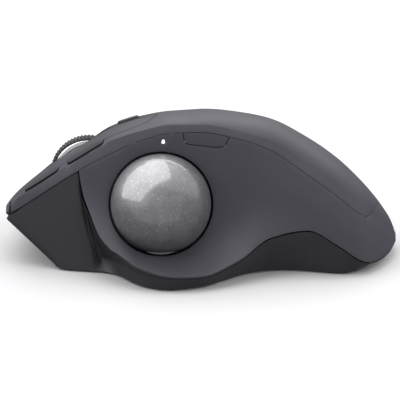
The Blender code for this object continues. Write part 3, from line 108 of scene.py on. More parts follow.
def smooth_through(knots, values, at):
    """Monotone cubic interpolation: a smooth curve through the values, with no overshoot."""
    order = np.argsort(knots)
    x, y = np.asarray(knots, float)[order], np.asarray(values, float)[order]
    step = np.diff(x)
    slope = np.diff(y) / step
    rising = slope[:-1] * slope[1:] > 0
    before, after = np.where(rising, slope[:-1], 1.0), np.where(rising, slope[1:], 1.0)
    width = step[:-1] + step[1:]
    mean = 3 * width / ((width + step[1:]) / before + (width + step[:-1]) / after)
    inner = np.where(rising, mean, 0.0)
    tangent = np.concatenate([[slope[0]], inner, [slope[-1]]])
    at = np.clip(np.asarray(at, float), x[0], x[-1])
    i = np.clip(np.searchsorted(x, at, side="right") - 1, 0, len(step) - 1)
    h = step[i]
    t = (at - x[i]) / h
    return (
        y[i] * (2 * t**3 - 3 * t**2 + 1)
        + h * tangent[i] * (t**3 - 2 * t**2 + t)
        + y[i + 1] * (3 * t**2 - 2 * t**3)
        + h * tangent[i + 1] * (t**3 - t**2)
    )


def bezier(p0, p1, p2, p3, t):
    """Cubic Bezier points; the p are (rows, 2) and t runs along a new middle axis."""
    t = t[None, :, None]
    a, b, c, d = (np.asarray(p)[:, None, :] for p in (p0, p1, p2, p3))
    return a * (1 - t) ** 3 + 3 * b * t * (1 - t) ** 2 + 3 * c * t**2 * (1 - t) + d * t**3


def heading(degrees):
    """Unit vectors (x, z) at these angles from +X towards +Z."""
    a = np.radians(degrees)
    return np.stack([np.cos(a), np.sin(a)], axis=-1)


def seen_height(points):
    """How high (x, y, z) points are, seen along the ball's axis."""
    a = math.radians(BALL_TILT)
    return points[..., 2] * math.cos(a) + points[..., 0] * math.sin(a)


def arc_along(p):
    """The distance along each row of points from its first point."""
    step = np.linalg.norm(np.diff(p, axis=1), axis=-1)
    return np.concatenate([np.zeros((len(p), 1)), np.cumsum(step, axis=1)], axis=1)


def nearness(arc, reach):
    """How much a row's points count at each of them, on a bell curve of this reach."""
    near = np.exp(-0.5 * ((arc[:, :, None] - arc[:, None, :]) / reach) ** 2)
    return near * np.gradient(arc, axis=1)[:, None, :]


def eased(p):
    """The section points with the edge and the crease rounded a little, but not the ends."""
    arc = arc_along(p)
    near = nearness(arc, CREASE_ROUND)
    near /= near.sum(axis=2, keepdims=True)
    from_end = np.minimum(arc, arc[:, -1:] - arc)
    share = np.clip(from_end / 2.0 - 0.5, 0, 1)[..., None]
    return p + share * (near @ p - p)


class Skin:
    """The upper body's outer surface, as rows of points over (t, y).

    t runs from 0 at the lip to 1 at the edge, 2 at the crease and 3 at the right-hand lip.
    """

    def __init__(self):
        knots = [s[0] for s in STATIONS]
        rows = int(round((NOSE_Y - TAIL_Y) / ROW_STEP))
        self.y = np.linspace(NOSE_Y, TAIL_Y, rows + 1)

        def rail(pick):
            return smooth_through(knots, [pick(s) for s in STATIONS], self.y)

        lip, edge, crease, right = (
            np.stack([rail(lambda s: s[k][0]), rail(lambda s: s[k][1])], axis=-1)
            for k in (1, 2, 3, 4)
        )
        lead, rise = rail(lambda s: s[5][0]), rail(lambda s: s[5][1])
        in_by, up_by = rail(lambda s: s[6][0]), rail(lambda s: s[6][1])
        leave, reach = rail(lambda s: s[7][0]), rail(lambda s: s[7][1])
        width = right[:, 0] - crease[:, 0]
        scoop = np.linalg.norm(edge - lip, axis=1)[:, None]
        t = np.linspace(0, 1, PIECE_STEPS + 1)
        low = bezier(
            lip, lip + 0.45 * scoop * heading(leave), edge - 0.55 * scoop * heading(reach), edge, t
        )
        shoulder = bezier(
            edge, edge + (crease - edge) / 3, crease - (crease - edge) / 3, crease, t
        )
        crown = np.stack([lead * width, rise], axis=-1)
        flank = np.stack([-in_by * width, up_by * width], axis=-1)
        top = bezier(crease, crease + crown, right + flank, right, t)
        section = np.concatenate([low[:, :-1], shoulder[:, :-1], top], axis=1)
        self.t = np.linspace(0, 3, section.shape[1])
        y = np.broadcast_to(self.y[:, None], section.shape[:2])
        self.p = np.stack([section[..., 0], y, section[..., 1]], axis=-1)
        self.p = eased(self.p)
        along = np.gradient(self.p, axis=0)
        across = np.gradient(self.p, axis=1)
        normal = np.cross(across, along)
        normal /= np.linalg.norm(normal, axis=-1, keepdims=True) + 1e-12
        self.n = -normal if normal[rows // 2, -PIECE_STEPS, 2] < 0 else normal
        arc = arc_along(self.p)
        self.w = arc - arc[:, PIECE_STEPS : PIECE_STEPS + 1]
        self.m = nearness(arc, CORNER_BLEND) @ self.n
        ridge = self.p[:, 2 * PIECE_STEPS + 3]
        run = np.linalg.norm(np.diff(ridge, axis=0), axis=-1)
        self.s = np.concatenate([[0], np.cumsum(run)])

    def blend(self, table, t, y):
        """Bilinear lookup of a table at (t, y)."""
        r = np.clip((NOSE_Y - np.asarray(y, float)) / ROW_STEP, 0, len(self.y) - 1.001)
        c = np.clip(np.asarray(t, float) * PIECE_STEPS, 0, len(self.t) - 1.001)
        i, j = r.astype(int), c.astype(int)
        u, v = r - i, c - j
        if table.ndim == 3:
            u, v = u[:, None], v[:, None]
        return (
            table[i, j] * (1 - u) * (1 - v)
            + table[i + 1, j] * u * (1 - v)
            + table[i, j + 1] * (1 - u) * v
            + table[i + 1, j + 1] * u * v
        )

    def point(self, t, y):
        return self.blend(self.p, t, y)

    def normal(self, t, y):
        n = self.blend(self.n, t, y)
        return n / np.linalg.norm(n, axis=-1, keepdims=True)

    def wall(self, t, y):
        """The direction a panel's wall runs in: the normal, eased over the creases."""
        m = self.blend(self.m, t, y)
        return m / np.linalg.norm(m, axis=-1, keepdims=True)

    def t_where(self, values, target, y, low, high):
        """t between low and high at which a row's rising values reach the target, at each y."""
        a, b = int(low * PIECE_STEPS), int(high * PIECE_STEPS) + 1
        r = np.clip((NOSE_Y - np.asarray(y, float)) / ROW_STEP, 0, len(self.y) - 1.001)
        i = r.astype(int)
        u = r - i
        found = []
        for k in range(len(i)):
            row = values[i[k], a:b] * (1 - u[k]) + values[i[k] + 1, a:b] * u[k]
            found.append(np.interp(target[k], row, self.t[a:b]))
        return np.array(found)

    def t_at_x(self, x, y):
        """t of the point of the top that lies at x in plan."""
        return self.t_where(self.p[..., 0], x, y, 1, 3)

    def t_at_h(self, h, y):
        """t of the point of the thumb side that is h high, seen along the ball's axis."""
        return self.t_where(seen_height(self.p), h, y, 0, 2)

    def flat(self, t, y):
        """The surface laid out flat: (arc along the section, arc along the ridge)."""
        s = np.interp(-np.asarray(y, float), -self.y, self.s)
        return np.stack([self.blend(self.w, t, y), s], axis=-1)

    def unflat(self, q):
        """The (t, y) of points of the flat layout."""
        y = np.interp(q[:, 1], self.s, self.y)
        return self.t_where(self.w, q[:, 0], y, 0, 3), y


def inside(points, loop):
    """Which points lie inside a closed loop, in 2D."""
    x, y = points[:, 0:1], points[:, 1:2]
    a, b = loop, np.roll(loop, -1, axis=0)
    crosses = (a[:, 1] > y) != (b[:, 1] > y)
    rise = np.where(b[:, 1] == a[:, 1], 1e-12, b[:, 1] - a[:, 1])
    at = a[:, 0] + (y - a[:, 1]) * (b[:, 0] - a[:, 0]) / rise
    return (crosses & (x < at)).sum(axis=1) % 2 == 1


def within(points, loops):
    """Which points lie inside the first loop and outside the others."""
    keep = inside(points, loops[0])
    for hole in loops[1:]:
        keep &= ~inside(points, hole)
    return keep


def clearance(points, line):
    """How far each point lies from the nearest of a line's points."""
    return np.min(np.linalg.norm(points[:, None] - line[None], axis=2), axis=1)


def resample(loop, spacing):
    """A closed loop's points at an even spacing, corners sharper than 35 degrees kept."""
    loop = np.asarray(loop, float)
    before, after = loop - np.roll(loop, 1, axis=0), np.roll(loop, -1, axis=0) - loop
    turn = np.arctan2(
        before[:, 0] * after[:, 1] - before[:, 1] * after[:, 0], (before * after).sum(axis=1)
    )
    corners = np.nonzero(np.abs(turn) > math.radians(35))[0]
    if len(corners) == 0:
        corners = np.array([0])
    out = []
    for k, start in enumerate(corners):
        end = corners[(k + 1) % len(corners)]
        count = (end - start) % len(loop) or len(loop)
        run = loop[(start + np.arange(count + 1)) % len(loop)]
        arc = np.concatenate([[0], np.cumsum(np.linalg.norm(np.diff(run, axis=0), axis=1))])
        n = max(1, int(round(arc[-1] / spacing)))
        at = np.linspace(0, arc[-1], n + 1)[:-1]
        out.append(np.stack([np.interp(at, arc, run[:, 0]), np.interp(at, arc, run[:, 1])], -1))
    return np.concatenate(out)


def area2(loop):
    a, b = loop, np.roll(loop, -1, axis=0)
    return float((a[:, 0] * b[:, 1] - a[:, 1] * b[:, 0]).sum())


def anticlockwise(loop):
    return loop if area2(loop) > 0 else loop[::-1]


def length_around(loop):
    return np.linalg.norm(loop - np.roll(loop, 1, axis=0), axis=1).sum()


def triangulated(points, edges):
    """The Delaunay triangles of plan points that lie inside their closed edges."""
    done = delaunay_2d_cdt([Vector(p) for p in points], edges, [], INSIDE, 1e-7)
    return np.array([tuple(v) for v in done[0]]), np.array(done[2])


def inset(loop, by):
    """A counter-clockwise loop moved inwards by a small distance."""
    side = np.roll(loop, -1, axis=0) - loop
    length = np.linalg.norm(side, axis=1, keepdims=True)
    side /= length + 1e-12
    out = np.stack([side[:, 1], -side[:, 0]], axis=-1)
    before = np.roll(out, 1, axis=0)
    mean = out + before
    mean /= np.linalg.norm(mean, axis=1, keepdims=True) + 1e-12
    reach = by / np.clip((mean * out).sum(axis=1, keepdims=True), 0.6, 1)
    room = 0.9 * np.minimum(length, np.roll(length, 1, axis=0))
    reach = np.clip(reach, -room, room)
    return loop - mean * reach


def fill_flat(loops, spacing, ridges):
    """Triangles that fill a region of the flat layout, and keep the ridges' rows of points.

    loops[0] is the region's edge, and the other loops are holes.
    """
    loops = [anticlockwise(loop) for loop in loops]
    low, high = loops[0].min(axis=0), loops[0].max(axis=0)
    rise = spacing * math.sqrt(3) / 2
    grid = []
    for k, v in enumerate(np.arange(low[1] + rise / 2, high[1], rise)):
        for u in np.arange(low[0] + spacing * (0.25 + 0.5 * (k % 2)), high[0], spacing):
            grid.append((u, v))
    grid = np.array(grid)
    keep = within(grid, loops)
    for loop in loops:
        keep &= clearance(grid, loop) > 0.62 * spacing
    for line in ridges:
        keep &= clearance(grid, line) > 0.55 * spacing
    grid = np.concatenate([grid[keep], *ridges])
    points = np.concatenate([*loops, grid])
    edges, first = [], 0
    for loop in loops:
        n = len(loop)
        edges += [(first + k, first + (k + 1) % n) for k in range(n)]
        first += n
    q, faces = triangulated(points, edges)
    for hole in loops[1:]:
        faces = faces[~inside(q[faces].mean(axis=1), hole)]
    return q, faces


def band(ring, after):
    """The four-cornered faces between two closed rings of vertices."""
    return list(zip(ring, ring[1:] + ring[:1], after[1:] + after[:1], after))


def bm_of(points, faces):
    bm = bmesh.new()
    made = [bm.verts.new(p) for p in points]
    for f in faces:
        bm.faces.new([made[k] for k in f])
    return bm


FILLET_STEPS = 3
BORDER_SPACING = 0.45  # spacing of a panel's border points, as a share of its inner ones
LEAST_POINTS = 28  # on a small panel's border
RIDGE_SIDES = (-1.0, -0.4, 0.0, 0.4, 1.0)  # rows of points kept along the edge and the crease


def ridge_rows(skin, cores, spacing):
    """Rows of flat points along the edge and the crease, where they cross the panel."""
    rows = []
    y = np.arange(TAIL_Y + 1, NOSE_Y - 0.5, spacing * 0.8)
    for t in (1.0, 2.0):
        middle = skin.flat(np.full(len(y), t), y)
        for shift in RIDGE_SIDES:
            row = middle + (shift, 0)
            keep = within(row, cores)
            for loop in cores:
                keep &= clearance(row, loop) > 0.5 * spacing
            rows.append(row[keep])
    return [row for row in rows if len(row)]


def panel_bm(skin, loops, spacing, outer=0.0, depth=SHELL, fillet=0.15):
    """A closed panel of the skin. loops are (t, y) outlines, the first its edge, the rest holes."""
    flat = []
    for loop in loops:
        q = skin.flat(loop[:, 0], loop[:, 1])
        at_most = length_around(q) / LEAST_POINTS
        flat.append(anticlockwise(resample(q, min(spacing * BORDER_SPACING, at_most))))
    ways = [1] + [-1] * (len(flat) - 1)
    cores = [inset(l, way * fillet) for l, way in zip(flat, ways)]
    ridges = ridge_rows(skin, cores, spacing)
    q, triangles = fill_flat(cores, spacing, ridges)
    t, y = skin.unflat(q)
    point = skin.point(t, y)
    n = len(q)
    points = [*(point + skin.normal(t, y) * outer), *(point - skin.wall(t, y) * (depth - outer))]
    faces = [tuple(f) for f in triangles] + [tuple(n + f[::-1]) for f in triangles]
    first = 0
    for loop, way in zip(flat, ways):
        m = len(loop)
        rings = [list(range(first, first + m))]
        for step in range(1, FILLET_STEPS + 1):
            a = math.pi / 2 * step / FILLET_STEPS
            ring = inset(loop, way * fillet * (1 - math.sin(a)))
            t, y = skin.unflat(ring)
            drop = outer - fillet * (1 - math.cos(a))
            rings.append(list(range(len(points), len(points) + m)))
            points += [*(skin.point(t, y) + skin.wall(t, y) * drop)]
        t, y = skin.unflat(loop)
        rings.append(list(range(len(points), len(points) + m)))
        points += [*(skin.point(t, y) - skin.wall(t, y) * (depth - outer))]
        rings.append(list(range(n + first, n + first + m)))
        for upper, lower in zip(rings, rings[1:]):
            faces += band(upper, lower)
        first += m
    return bm_of(points, faces)


def box_bm(low, high):
    bm = bmesh.new()
    bmesh.ops.create_cube(bm, size=1)
    low, high = Vector(low), Vector(high)
    bmesh.ops.scale(bm, vec=high - low, verts=bm.verts)
    bmesh.ops.translate(bm, vec=(low + high) / 2, verts=bm.verts)
    return bm


def frame_at(origin, z_axis, x_hint=(0, 1, 0)):
    """A placing matrix with its Z along z_axis."""
    z = Vector(z_axis).normalized()
    y = z.cross(Vector(x_hint)).normalized()
    x = y.cross(z)
    return Matrix.Translation(origin) @ Matrix((x, y, z)).transposed().to_4x4()


def moved(bm, matrix):
    bmesh.ops.transform(bm, matrix=matrix, verts=bm.verts)
    return bm


def rod_bm(start, end, radius, sides=16):
    start, end = Vector(start), Vector(end)
    bm = bmesh.new()
    bmesh.ops.create_cone(
        bm, cap_ends=True, segments=sides, radius1=radius, radius2=radius,
        depth=(end - start).length,
    )
    hint = (0, 1, 0) if abs((end - start).normalized().y) < 0.9 else (1, 0, 0)
    return moved(bm, frame_at((start + end) / 2, end - start, hint))


def turned_bm(profile, sides, matrix):
    """A closed profile of (radius, height) points turned about the matrix's Z axis."""
    bm = bmesh.new()
    rings = []
    for r, z in profile:
        if r < 1e-6:
            rings.append([bm.verts.new((0, 0, z))])
            continue
        around = (2 * math.pi * k / sides for k in range(sides))
        rings.append([bm.verts.new((r * math.cos(a), r * math.sin(a), z)) for a in around])
    for lower, upper in zip(rings, rings[1:] + rings[:1]):
        for k in range(sides):
            corners = [lower[k % len(lower)], lower[(k + 1) % len(lower)],
                       upper[(k + 1) % len(upper)], upper[k % len(upper)]]
            corners = list(dict.fromkeys(corners))
            if len(corners) > 2:
                bm.faces.new(corners)
    return moved(bm, matrix)


def prism_bm(outline, z0, z1):
    bm = bmesh.new()
    low = [bm.verts.new((x, y, z0)) for x, y in outline]
    high = [bm.verts.new((x, y, z1)) for x, y in outline]
    bm.faces.new(low[::-1])
    bm.faces.new(high)
    for corners in band(low, high):
        bm.faces.new(corners)
    return bm


def smooth(points, per=8, closed=False):
    """Catmull-Rom curve through 2D or 3D points."""
    p = [np.asarray(q, float) for q in points]
    p = [p[-1], *p, p[0], p[1]] if closed else [2 * p[0] - p[1], *p, 2 * p[-1] - p[-2]]
    out = []
    for a, b, c, d in zip(p, p[1:], p[2:], p[3:]):
        for k in range(per):
            t = k / per
            out.append(0.5 * (2 * b + (c - a) * t + (2 * a - 5 * b + 4 * c - d) * t**2
                              + (3 * b - a - 3 * c + d) * t**3))
    if not closed:
        out.append(p[-2])
    return np.array(out)


def rounded_box(low, high, radius, per=5):
    (x0, y0), (x1, y1) = low, high
    corners = ((x1 - radius, y1 - radius, 0), (x0 + radius, y1 - radius, 90),
               (x0 + radius, y0 + radius, 180), (x1 - radius, y0 + radius, 270))
    out = []
    for cx, cy, start in corners:
        for k in range(per + 1):
            a = math.radians(start + 90 * k / per)
            out.append((cx + radius * math.cos(a), cy + radius * math.sin(a)))
    return np.array(out)


def circle(centre, radius, sides):
    a = np.arange(sides) * 2 * math.pi / sides
    return np.stack([centre[0] + radius * np.cos(a), centre[1] + radius * np.sin(a)], axis=-1)


def on_top(skin, xy):
    """Plan points (x, y) as (t, y) on the top."""
    return np.stack([skin.t_at_x(xy[:, 0], xy[:, 1]), xy[:, 1]], axis=-1)


def straight(skin, x, y0, y1, steps=24):
    """A seam along Y on the top, at one x in plan."""
    return on_top(skin, np.stack([np.full(steps, x), np.linspace(y0, y1, steps)], -1))


def on_side(skin, yh):
    """Points (y, h) seen along the ball's axis as (t, y) on the thumb side."""
    return np.stack([skin.t_at_h(yh[:, 1], yh[:, 0]), yh[:, 0]], axis=-1)


def rail(t, y0, y1, steps=80):
    return np.stack([np.full(steps + 1, float(t)), np.linspace(y0, y1, steps + 1)], axis=-1)


BUTTON_EDGE_X = -17.6  # between the left button and the strip that holds the side keys
SPINE_X = (-4.7, 8.7)
STRIP_END_Y = 64.4  # the left button wraps the nose in front of this
WRAP_GAP = 0.35  # room for that wrap to swing when the button is pressed
NOSE_CUT_Y = 66.3
REAR_SEAM = ((BUTTON_EDGE_X, 32.0), (-17.5, 26.7), (-16.2, 21.0), (-12.3, 17.6), (-4.7, 15.0),
             (2.0, 14.2), (8.7, 13.6), (18.0, 12.4), (32.0, 11.0), (44.0, 10.2))
PANEL_CORNER_Y = 41.3  # front corner of the thumb panel, on the edge
SCOOP_FRONT = ((41.2, 22.6), (39.8, 15.7), (37.2, 8.8), (35.4, 4.2), (33.2, 0.5), (30.4, -2.5))
TAIL_SEAM = ((-27.4, -55.4), (-21.0, -58.4), (-12.0, -60.2), (-3.0, -60.6), (2.6, -61.2))
KEYS = {"back_button": (33.0, 45.2), "forward_button": (48.2, 59.6)}  # along Y
KEY_X = (-21.0, BUTTON_EDGE_X)
KEY_SLOT = 0.5  # width of the dark slot on the thumb's side of each key
THUMB_KEY = ((6.1, 36.6), (5.9, 34.8), (5.3, 33.6), (4.0, 33.0), (0.0, 32.6), (-5.0, 32.0),
             (-7.2, 32.3), (-8.4, 33.3), (-9.2, 34.8))  # (y, h) of its lower outline, front to rear
THUMB_KEY_Y = (6.3, -9.7)  # where that outline leaves the shoulder's edge
LED_AT = (12.8, 34.0)
CHANNEL_KEY = ((-1.2, 21.0), (5.2, 28.4))  # plan corners, low and high
WHEEL_SLOT = ((-2.7, 31.2), (6.6, 56.0))


def rear_seam(skin, x0, x1):
    """The seam behind the buttons, from x0 to x1, ending on the right-hand lip past its last x."""
    line = smooth(REAR_SEAM)
    keep = line[(line[:, 0] > min(x0, x1)) & (line[:, 0] < max(x0, x1))]
    x = np.concatenate([[min(x0, x1)], keep[:, 0], [max(x0, x1)]])
    y = np.interp(x, line[:, 0], line[:, 1])
    found = on_top(skin, np.stack([x, y], axis=-1))
    return found if x0 < x1 else found[::-1]


def tail_seam(skin):
    """The seam between the palm cover and the tail, from the edge across to the right lip."""
    line = smooth(TAIL_SEAM)
    corner = np.array([(1.0, -50.6), (1.03, -52.6), (1.25, -54.5)])
    return np.concatenate([corner, on_top(skin, line), [(2.9, -61.8), (3.0, -62.2)]])


def scoop_front(skin):
    """The thumb panel's front edge, from the shoulder's edge down to the lip."""
    line = smooth(SCOOP_FRONT)
    return np.concatenate([[(1.0, PANEL_CORNER_Y)], on_side(skin, line), [(0.0, 29.6)]])


def thumb_key_line(skin):
    return on_side(skin, smooth(THUMB_KEY, 6))


def thumb_panel_loops(skin):
    notch = thumb_key_line(skin)
    loop = np.concatenate([
        rail(1, PANEL_CORNER_Y, THUMB_KEY_Y[0], 30), notch, rail(1, THUMB_KEY_Y[1], -50, 30),
        tail_seam(skin), rail(3, -62.6, TAIL_Y, 8), rail(0, TAIL_Y, 29.9, 90),
        scoop_front(skin)[::-1][1:-1],
    ])
    opening = circle((BALL_AT[1], seen_height(np.array(BALL_AT))), OPENING_R, 72)
    light = circle(LED_AT, 0.75, 12)
    return [loop, on_side(skin, opening), on_side(skin, light)]


def thumb_key_loops(skin):
    notch = thumb_key_line(skin)
    return [np.concatenate([notch, rail(1, THUMB_KEY_Y[1], THUMB_KEY_Y[0], 12)])]


def key_outline(name, beside=0.0):
    """A side key's outline: straight against the left button, its outer corners rounded."""
    y0, y1 = KEYS[name]
    box = rounded_box((KEY_X[0] - beside, y0), (KEY_X[1] + 2.0, y1), 1.3)
    box[:, 0] = np.minimum(box[:, 0], KEY_X[1])
    keep = [k for k, p in enumerate(box) if p[0] < KEY_X[1] or box[k - 1][0] < KEY_X[1]
            or box[(k + 1) % len(box)][0] < KEY_X[1]]
    return box[keep]


def palm_cover_loops(skin):
    """The cover's outline, with a notch for each side key in its border with the left button."""
    notched = [key_outline(name, KEY_SLOT)[::-1] for name in KEYS]
    border = np.concatenate([*notched, [(BUTTON_EDGE_X, STRIP_END_Y)]])
    return [np.concatenate([
        rail(1, STRIP_END_Y, -50.4, 110), tail_seam(skin), rail(3, -61.6, 10.1, 60),
        rear_seam(skin, 44.0, BUTTON_EDGE_X), on_top(skin, border),
    ])]


def left_button_loops(skin):
    wrap_y = STRIP_END_Y + WRAP_GAP
    return [np.concatenate([
        rear_seam(skin, SPINE_X[0], BUTTON_EDGE_X),
        straight(skin, BUTTON_EDGE_X, 32.6, wrap_y),
        [(1.02, wrap_y), (1.02, NOSE_CUT_Y)],
        on_top(skin, np.array([(-18.0, NOSE_CUT_Y), (-12.0, NOSE_CUT_Y), (-8.5, 65.9)])),
        straight(skin, SPINE_X[0], 64.8, 15.6, 30),
    ])]


def spine_loops(skin):
    loop = np.concatenate([
        rear_seam(skin, SPINE_X[1], SPINE_X[0]),
        straight(skin, SPINE_X[0], 15.6, 65.4), rail(3, 65.3, 63.4, 6),
        straight(skin, SPINE_X[1], 62.8, 14.4),
    ])
    return [loop, on_top(skin, rounded_box(*WHEEL_SLOT, 1.5)),
            on_top(skin, rounded_box(*CHANNEL_KEY, 1.4))]


def right_button_loops(skin):
    return [np.concatenate([
        straight(skin, SPINE_X[1], 14.2, 62.6), rail(3, 62.8, 10.7, 60),
        rear_seam(skin, 44.0, SPINE_X[1])[:-1],
    ])]


def shrunk(skin, loop, by):
    """A (t, y) loop moved inwards on the skin."""
    flat = skin.flat(loop[:, 0], loop[:, 1])
    flat = anticlockwise(resample(flat, min(0.8, length_around(flat) / 36)))
    t, y = skin.unflat(inset(flat, by))
    return np.stack([t, y], axis=-1)


RIB_GROUPS = (
    # the place along the panels' lower border, then x and y where the wall meets the underside
    ("edge", ((65.9, -25.5, 48.9), (56, -28.0, 46.0), (48, -29.0, 41.5), (41.6, -29.9, 36.4))),
    ("scoop", ((39.6, -30.3, 34.2), (36.8, -31.2, 31.6), (33.2, -33.2, 28.8))),
    ("lip", ((29.4, -35.8, 26.6), (24.5, -40.4, 23.6), (19, -45.2, 18.8), (12, -47.9, 12.0),
        (5, -47.0, 5.0), (-2, -44.0, -2.0), (-9, -37.6, -9.0), (-15, -32.6, -14.8),
        (-21, -29.8, -20.6), (-28, -28.4, -28.0), (-36, -29.3, -36.0), (-44, -31.2, -44.0),
        (-50, -31.4, -49.6), (-55, -27.4, -54.4), (-60, -19.5, -58.6), (-64, -12.0, -61.4),
        (TAIL_Y, -8.8, -62.1))),
    ("tail", ((1.5, -6.8, -62.3),)),
    ("right", ((TAIL_Y, -4.0, -62.2), (-64, 1.0, -60.9), (-60, 7.6, -57.2), (-54, 15.0, -50.6),
        (-46, 22.5, -43.2), (-36, 29.0, -34.0), (-24, 34.6, -23.0), (-12, 38.6, -11.6),
        (0, 40.8, 0.0), (12, 41.4, 11.0), (24, 40.8, 21.4), (36, 38.8, 31.0), (45, 33.6, 38.0),
        (52, 25.0, 42.6), (58, 16.0, 45.6), (62.4, 6.6, 47.6), (65.2, -4.0, 48.6))),
    ("nose", ((2.6, -13.0, 49.2),)),
)
RIBS = [(where, *place) for where, places in RIB_GROUPS for place in places]
RIB_STEPS = 14
WALL_ROWS = 40
EDGE_GAP = 0.08  # between the case's top and the panels above it, at the shoulder's edge
LIP_GAP = 0.28  # elsewhere under the fixed panels
BUTTON_GAP = 0.65  # under the two buttons, which swing down
BUTTONS_Y = 10.0  # the buttons lie in front of this
NOSE_DROP = 1.0  # how much lower the case's top is at the nose, so that the buttons can swing
NOSE_FROM = 60.0
NOSE_OVER = 6.0
LEAST_WALL = 1.4


def rib_point(skin, where, value):
    """(t, y) of one rib's place on the panels' border."""
    rails = {"lip": 0.0, "edge": 1.0, "right": 3.0}
    ends = {"tail": TAIL_Y, "nose": NOSE_Y}
    if where in rails:
        return rails[where], value
    if where in ends:
        return value, ends[where]
    line = scoop_front(skin)[:-1]
    return float(np.interp(-value, -line[:, 1], line[:, 0])), value


def underside(x):
    """Height of the case's underside: low over the plate's left, sloping up past the fold."""
    x = np.asarray(x, float)
    slope = CEILING + (x - FOLD_X) * SLOPE
    low, high = STEP_X
    ramp = RIM_Z + (x - low) / 0.8 * (CEILING - RIM_Z)
    return np.where(x < low, RIM_Z, np.where(x < high, np.minimum(ramp, CEILING + 0.06), slope))


def floor_top(x):
    return FLOOR + np.maximum(np.asarray(x, float) - FOLD_X, 0) * SLOPE


def case_walls(skin, steps):
    """The outer wall from the panels' border to the underside: points (rows, columns, 3)."""
    places = [rib_point(skin, where, value) for where, value, _, _ in RIBS]
    foot = smooth([(x, y) for _, _, x, y in RIBS], steps, closed=True)
    rim = []
    for k, (t, y) in enumerate(places):
        t1, y1 = places[(k + 1) % len(places)]
        same = RIBS[k][0] == RIBS[(k + 1) % len(RIBS)][0]
        for j in range(steps):
            f = j / steps
            if RIBS[k][0] == "scoop" and same:
                yy = y + (y1 - y) * f
                rim.append(rib_point(skin, "scoop", yy))
            else:
                rim.append((t + (t1 - t) * f, y + (y1 - y) * f))
    rim = np.array(rim)
    point, normal = skin.point(rim[:, 0], rim[:, 1]), skin.normal(rim[:, 0], rim[:, 1])
    up = np.clip(normal[:, 2], 0, 1)
    side = normal[:, :2] / np.linalg.norm(normal[:, :2], axis=1, keepdims=True)
    top = point.copy()
    under_button = (rim[:, 0] > 1) & (rim[:, 1] > BUTTONS_Y)
    gap = np.where(rim[:, 0] == 1, EDGE_GAP, np.where(under_button, BUTTON_GAP, LIP_GAP))
    depth = np.where(under_button, SHELL, PANEL_DEPTH)
    top[:, :2] -= side * (0.75 * gap + 0.45 * depth * up)[:, None]
    top[:, 2] -= depth * up + gap
    beside = np.interp(rim[:, 1], (29, 31, 40, 42), (0, 1, 1, 0)) * (rim[:, 0] <= 1)
    top[:, 1] += 0.7 * beside
    top[:, 2] -= NOSE_DROP * np.clip((rim[:, 1] - NOSE_FROM) / NOSE_OVER, 0, 1)
    top[:, 2] = np.maximum(top[:, 2], RIM_Z + LEAST_WALL)
    base = np.stack([foot[:, 0], foot[:, 1], underside(foot[:, 0])], axis=-1)
    rows = [top + (base - top) * s for s in np.linspace(0, 1, WALL_ROWS + 1)]
    return grooved(np.array(rows))


RIDGE_Z = (5.0, 11.4, 19.3, 28.4, 34.9)
RIDGE_Y = (36.4, 37.8, 39.8, 41.2, 41.2)  # where the thumb side's soft ridge runs, at those heights
GROOVE_DEPTH = 6.5  # what the drawn-in depth tends to, far behind the ridge
GROOVE_SLOPE = 1.5  # how steeply it starts
GROOVE_Y = (12, 22)  # it fades in from the first, over the second
GROOVE_Z = (0.7, 4)
GROOVE_X = -15  # the thumb's side of the case


def grooved(wall):
    """The wall drawn in behind a soft ridge, in front of the thumb panel's front border."""
    x, y, z = wall[..., 0], wall[..., 1], wall[..., 2]
    behind = np.interp(z, RIDGE_Z, RIDGE_Y) - y
    behind = (behind + np.sqrt(behind ** 2 + 0.25)) / 2
    depth = GROOVE_DEPTH * (1 - np.exp(-GROOVE_SLOPE * behind / GROOVE_DEPTH))
    depth *= np.clip((y - GROOVE_Y[0]) / GROOVE_Y[1], 0, 1) * (x < GROOVE_X)
    depth *= np.clip((z - GROOVE_Z[0]) / GROOVE_Z[1], 0, 1)
    drawn = wall.copy()
    drawn[..., 0] += depth
    return drawn


def outward(loop):
    """The outward direction in plan at each point of a closed loop."""
    along = np.roll(loop, -1, axis=0) - np.roll(loop, 1, axis=0)
    side = np.stack([along[:, 1], -along[:, 0]], axis=-1) * np.sign(area2(loop))
    return side / np.linalg.norm(side, axis=1, keepdims=True)


def drawn_in(loop, by):
    """A loop of plan points, either way round, moved inwards."""
    return inset(loop, by) if area2(loop) > 0 else inset(loop[::-1], by)[::-1]


FOLD_STEP = 2.5  # spacing of the points kept along a fold


def filled(loop, z_of, spacing, folds=()):
    """Triangles that fill a plan loop, at the heights z_of(x) away from the loop itself."""
    flat = loop[:, :2]
    order = slice(None) if area2(flat) > 0 else slice(None, None, -1)
    ring = flat[order]
    low, high = ring.min(axis=0), ring.max(axis=0)
    columns = list(np.arange(low[0] + spacing / 2, high[0], spacing))
    columns = [x for x in columns if all(abs(x - f) > spacing * 0.35 for f in folds)]
    grid = [(x, y, spacing) for x in columns for y in np.arange(low[1] + 3, high[1], spacing)]
    grid += [(x, y, FOLD_STEP) for x in folds for y in np.arange(low[1], high[1], FOLD_STEP)]
    grid, clear = np.array(grid)[:, :2], np.array(grid)[:, 2] * 0.45
    grid = grid[inside(grid, ring) & (clearance(grid, ring) > clear)]
    points = np.concatenate([ring, grid])
    edges = [(k, (k + 1) % len(ring)) for k in range(len(ring))]
    q, faces = triangulated(points, edges)
    z = z_of(q[:, 0])
    z[: len(ring)] = loop[order][:, 2]
    return np.column_stack([q, z]), faces


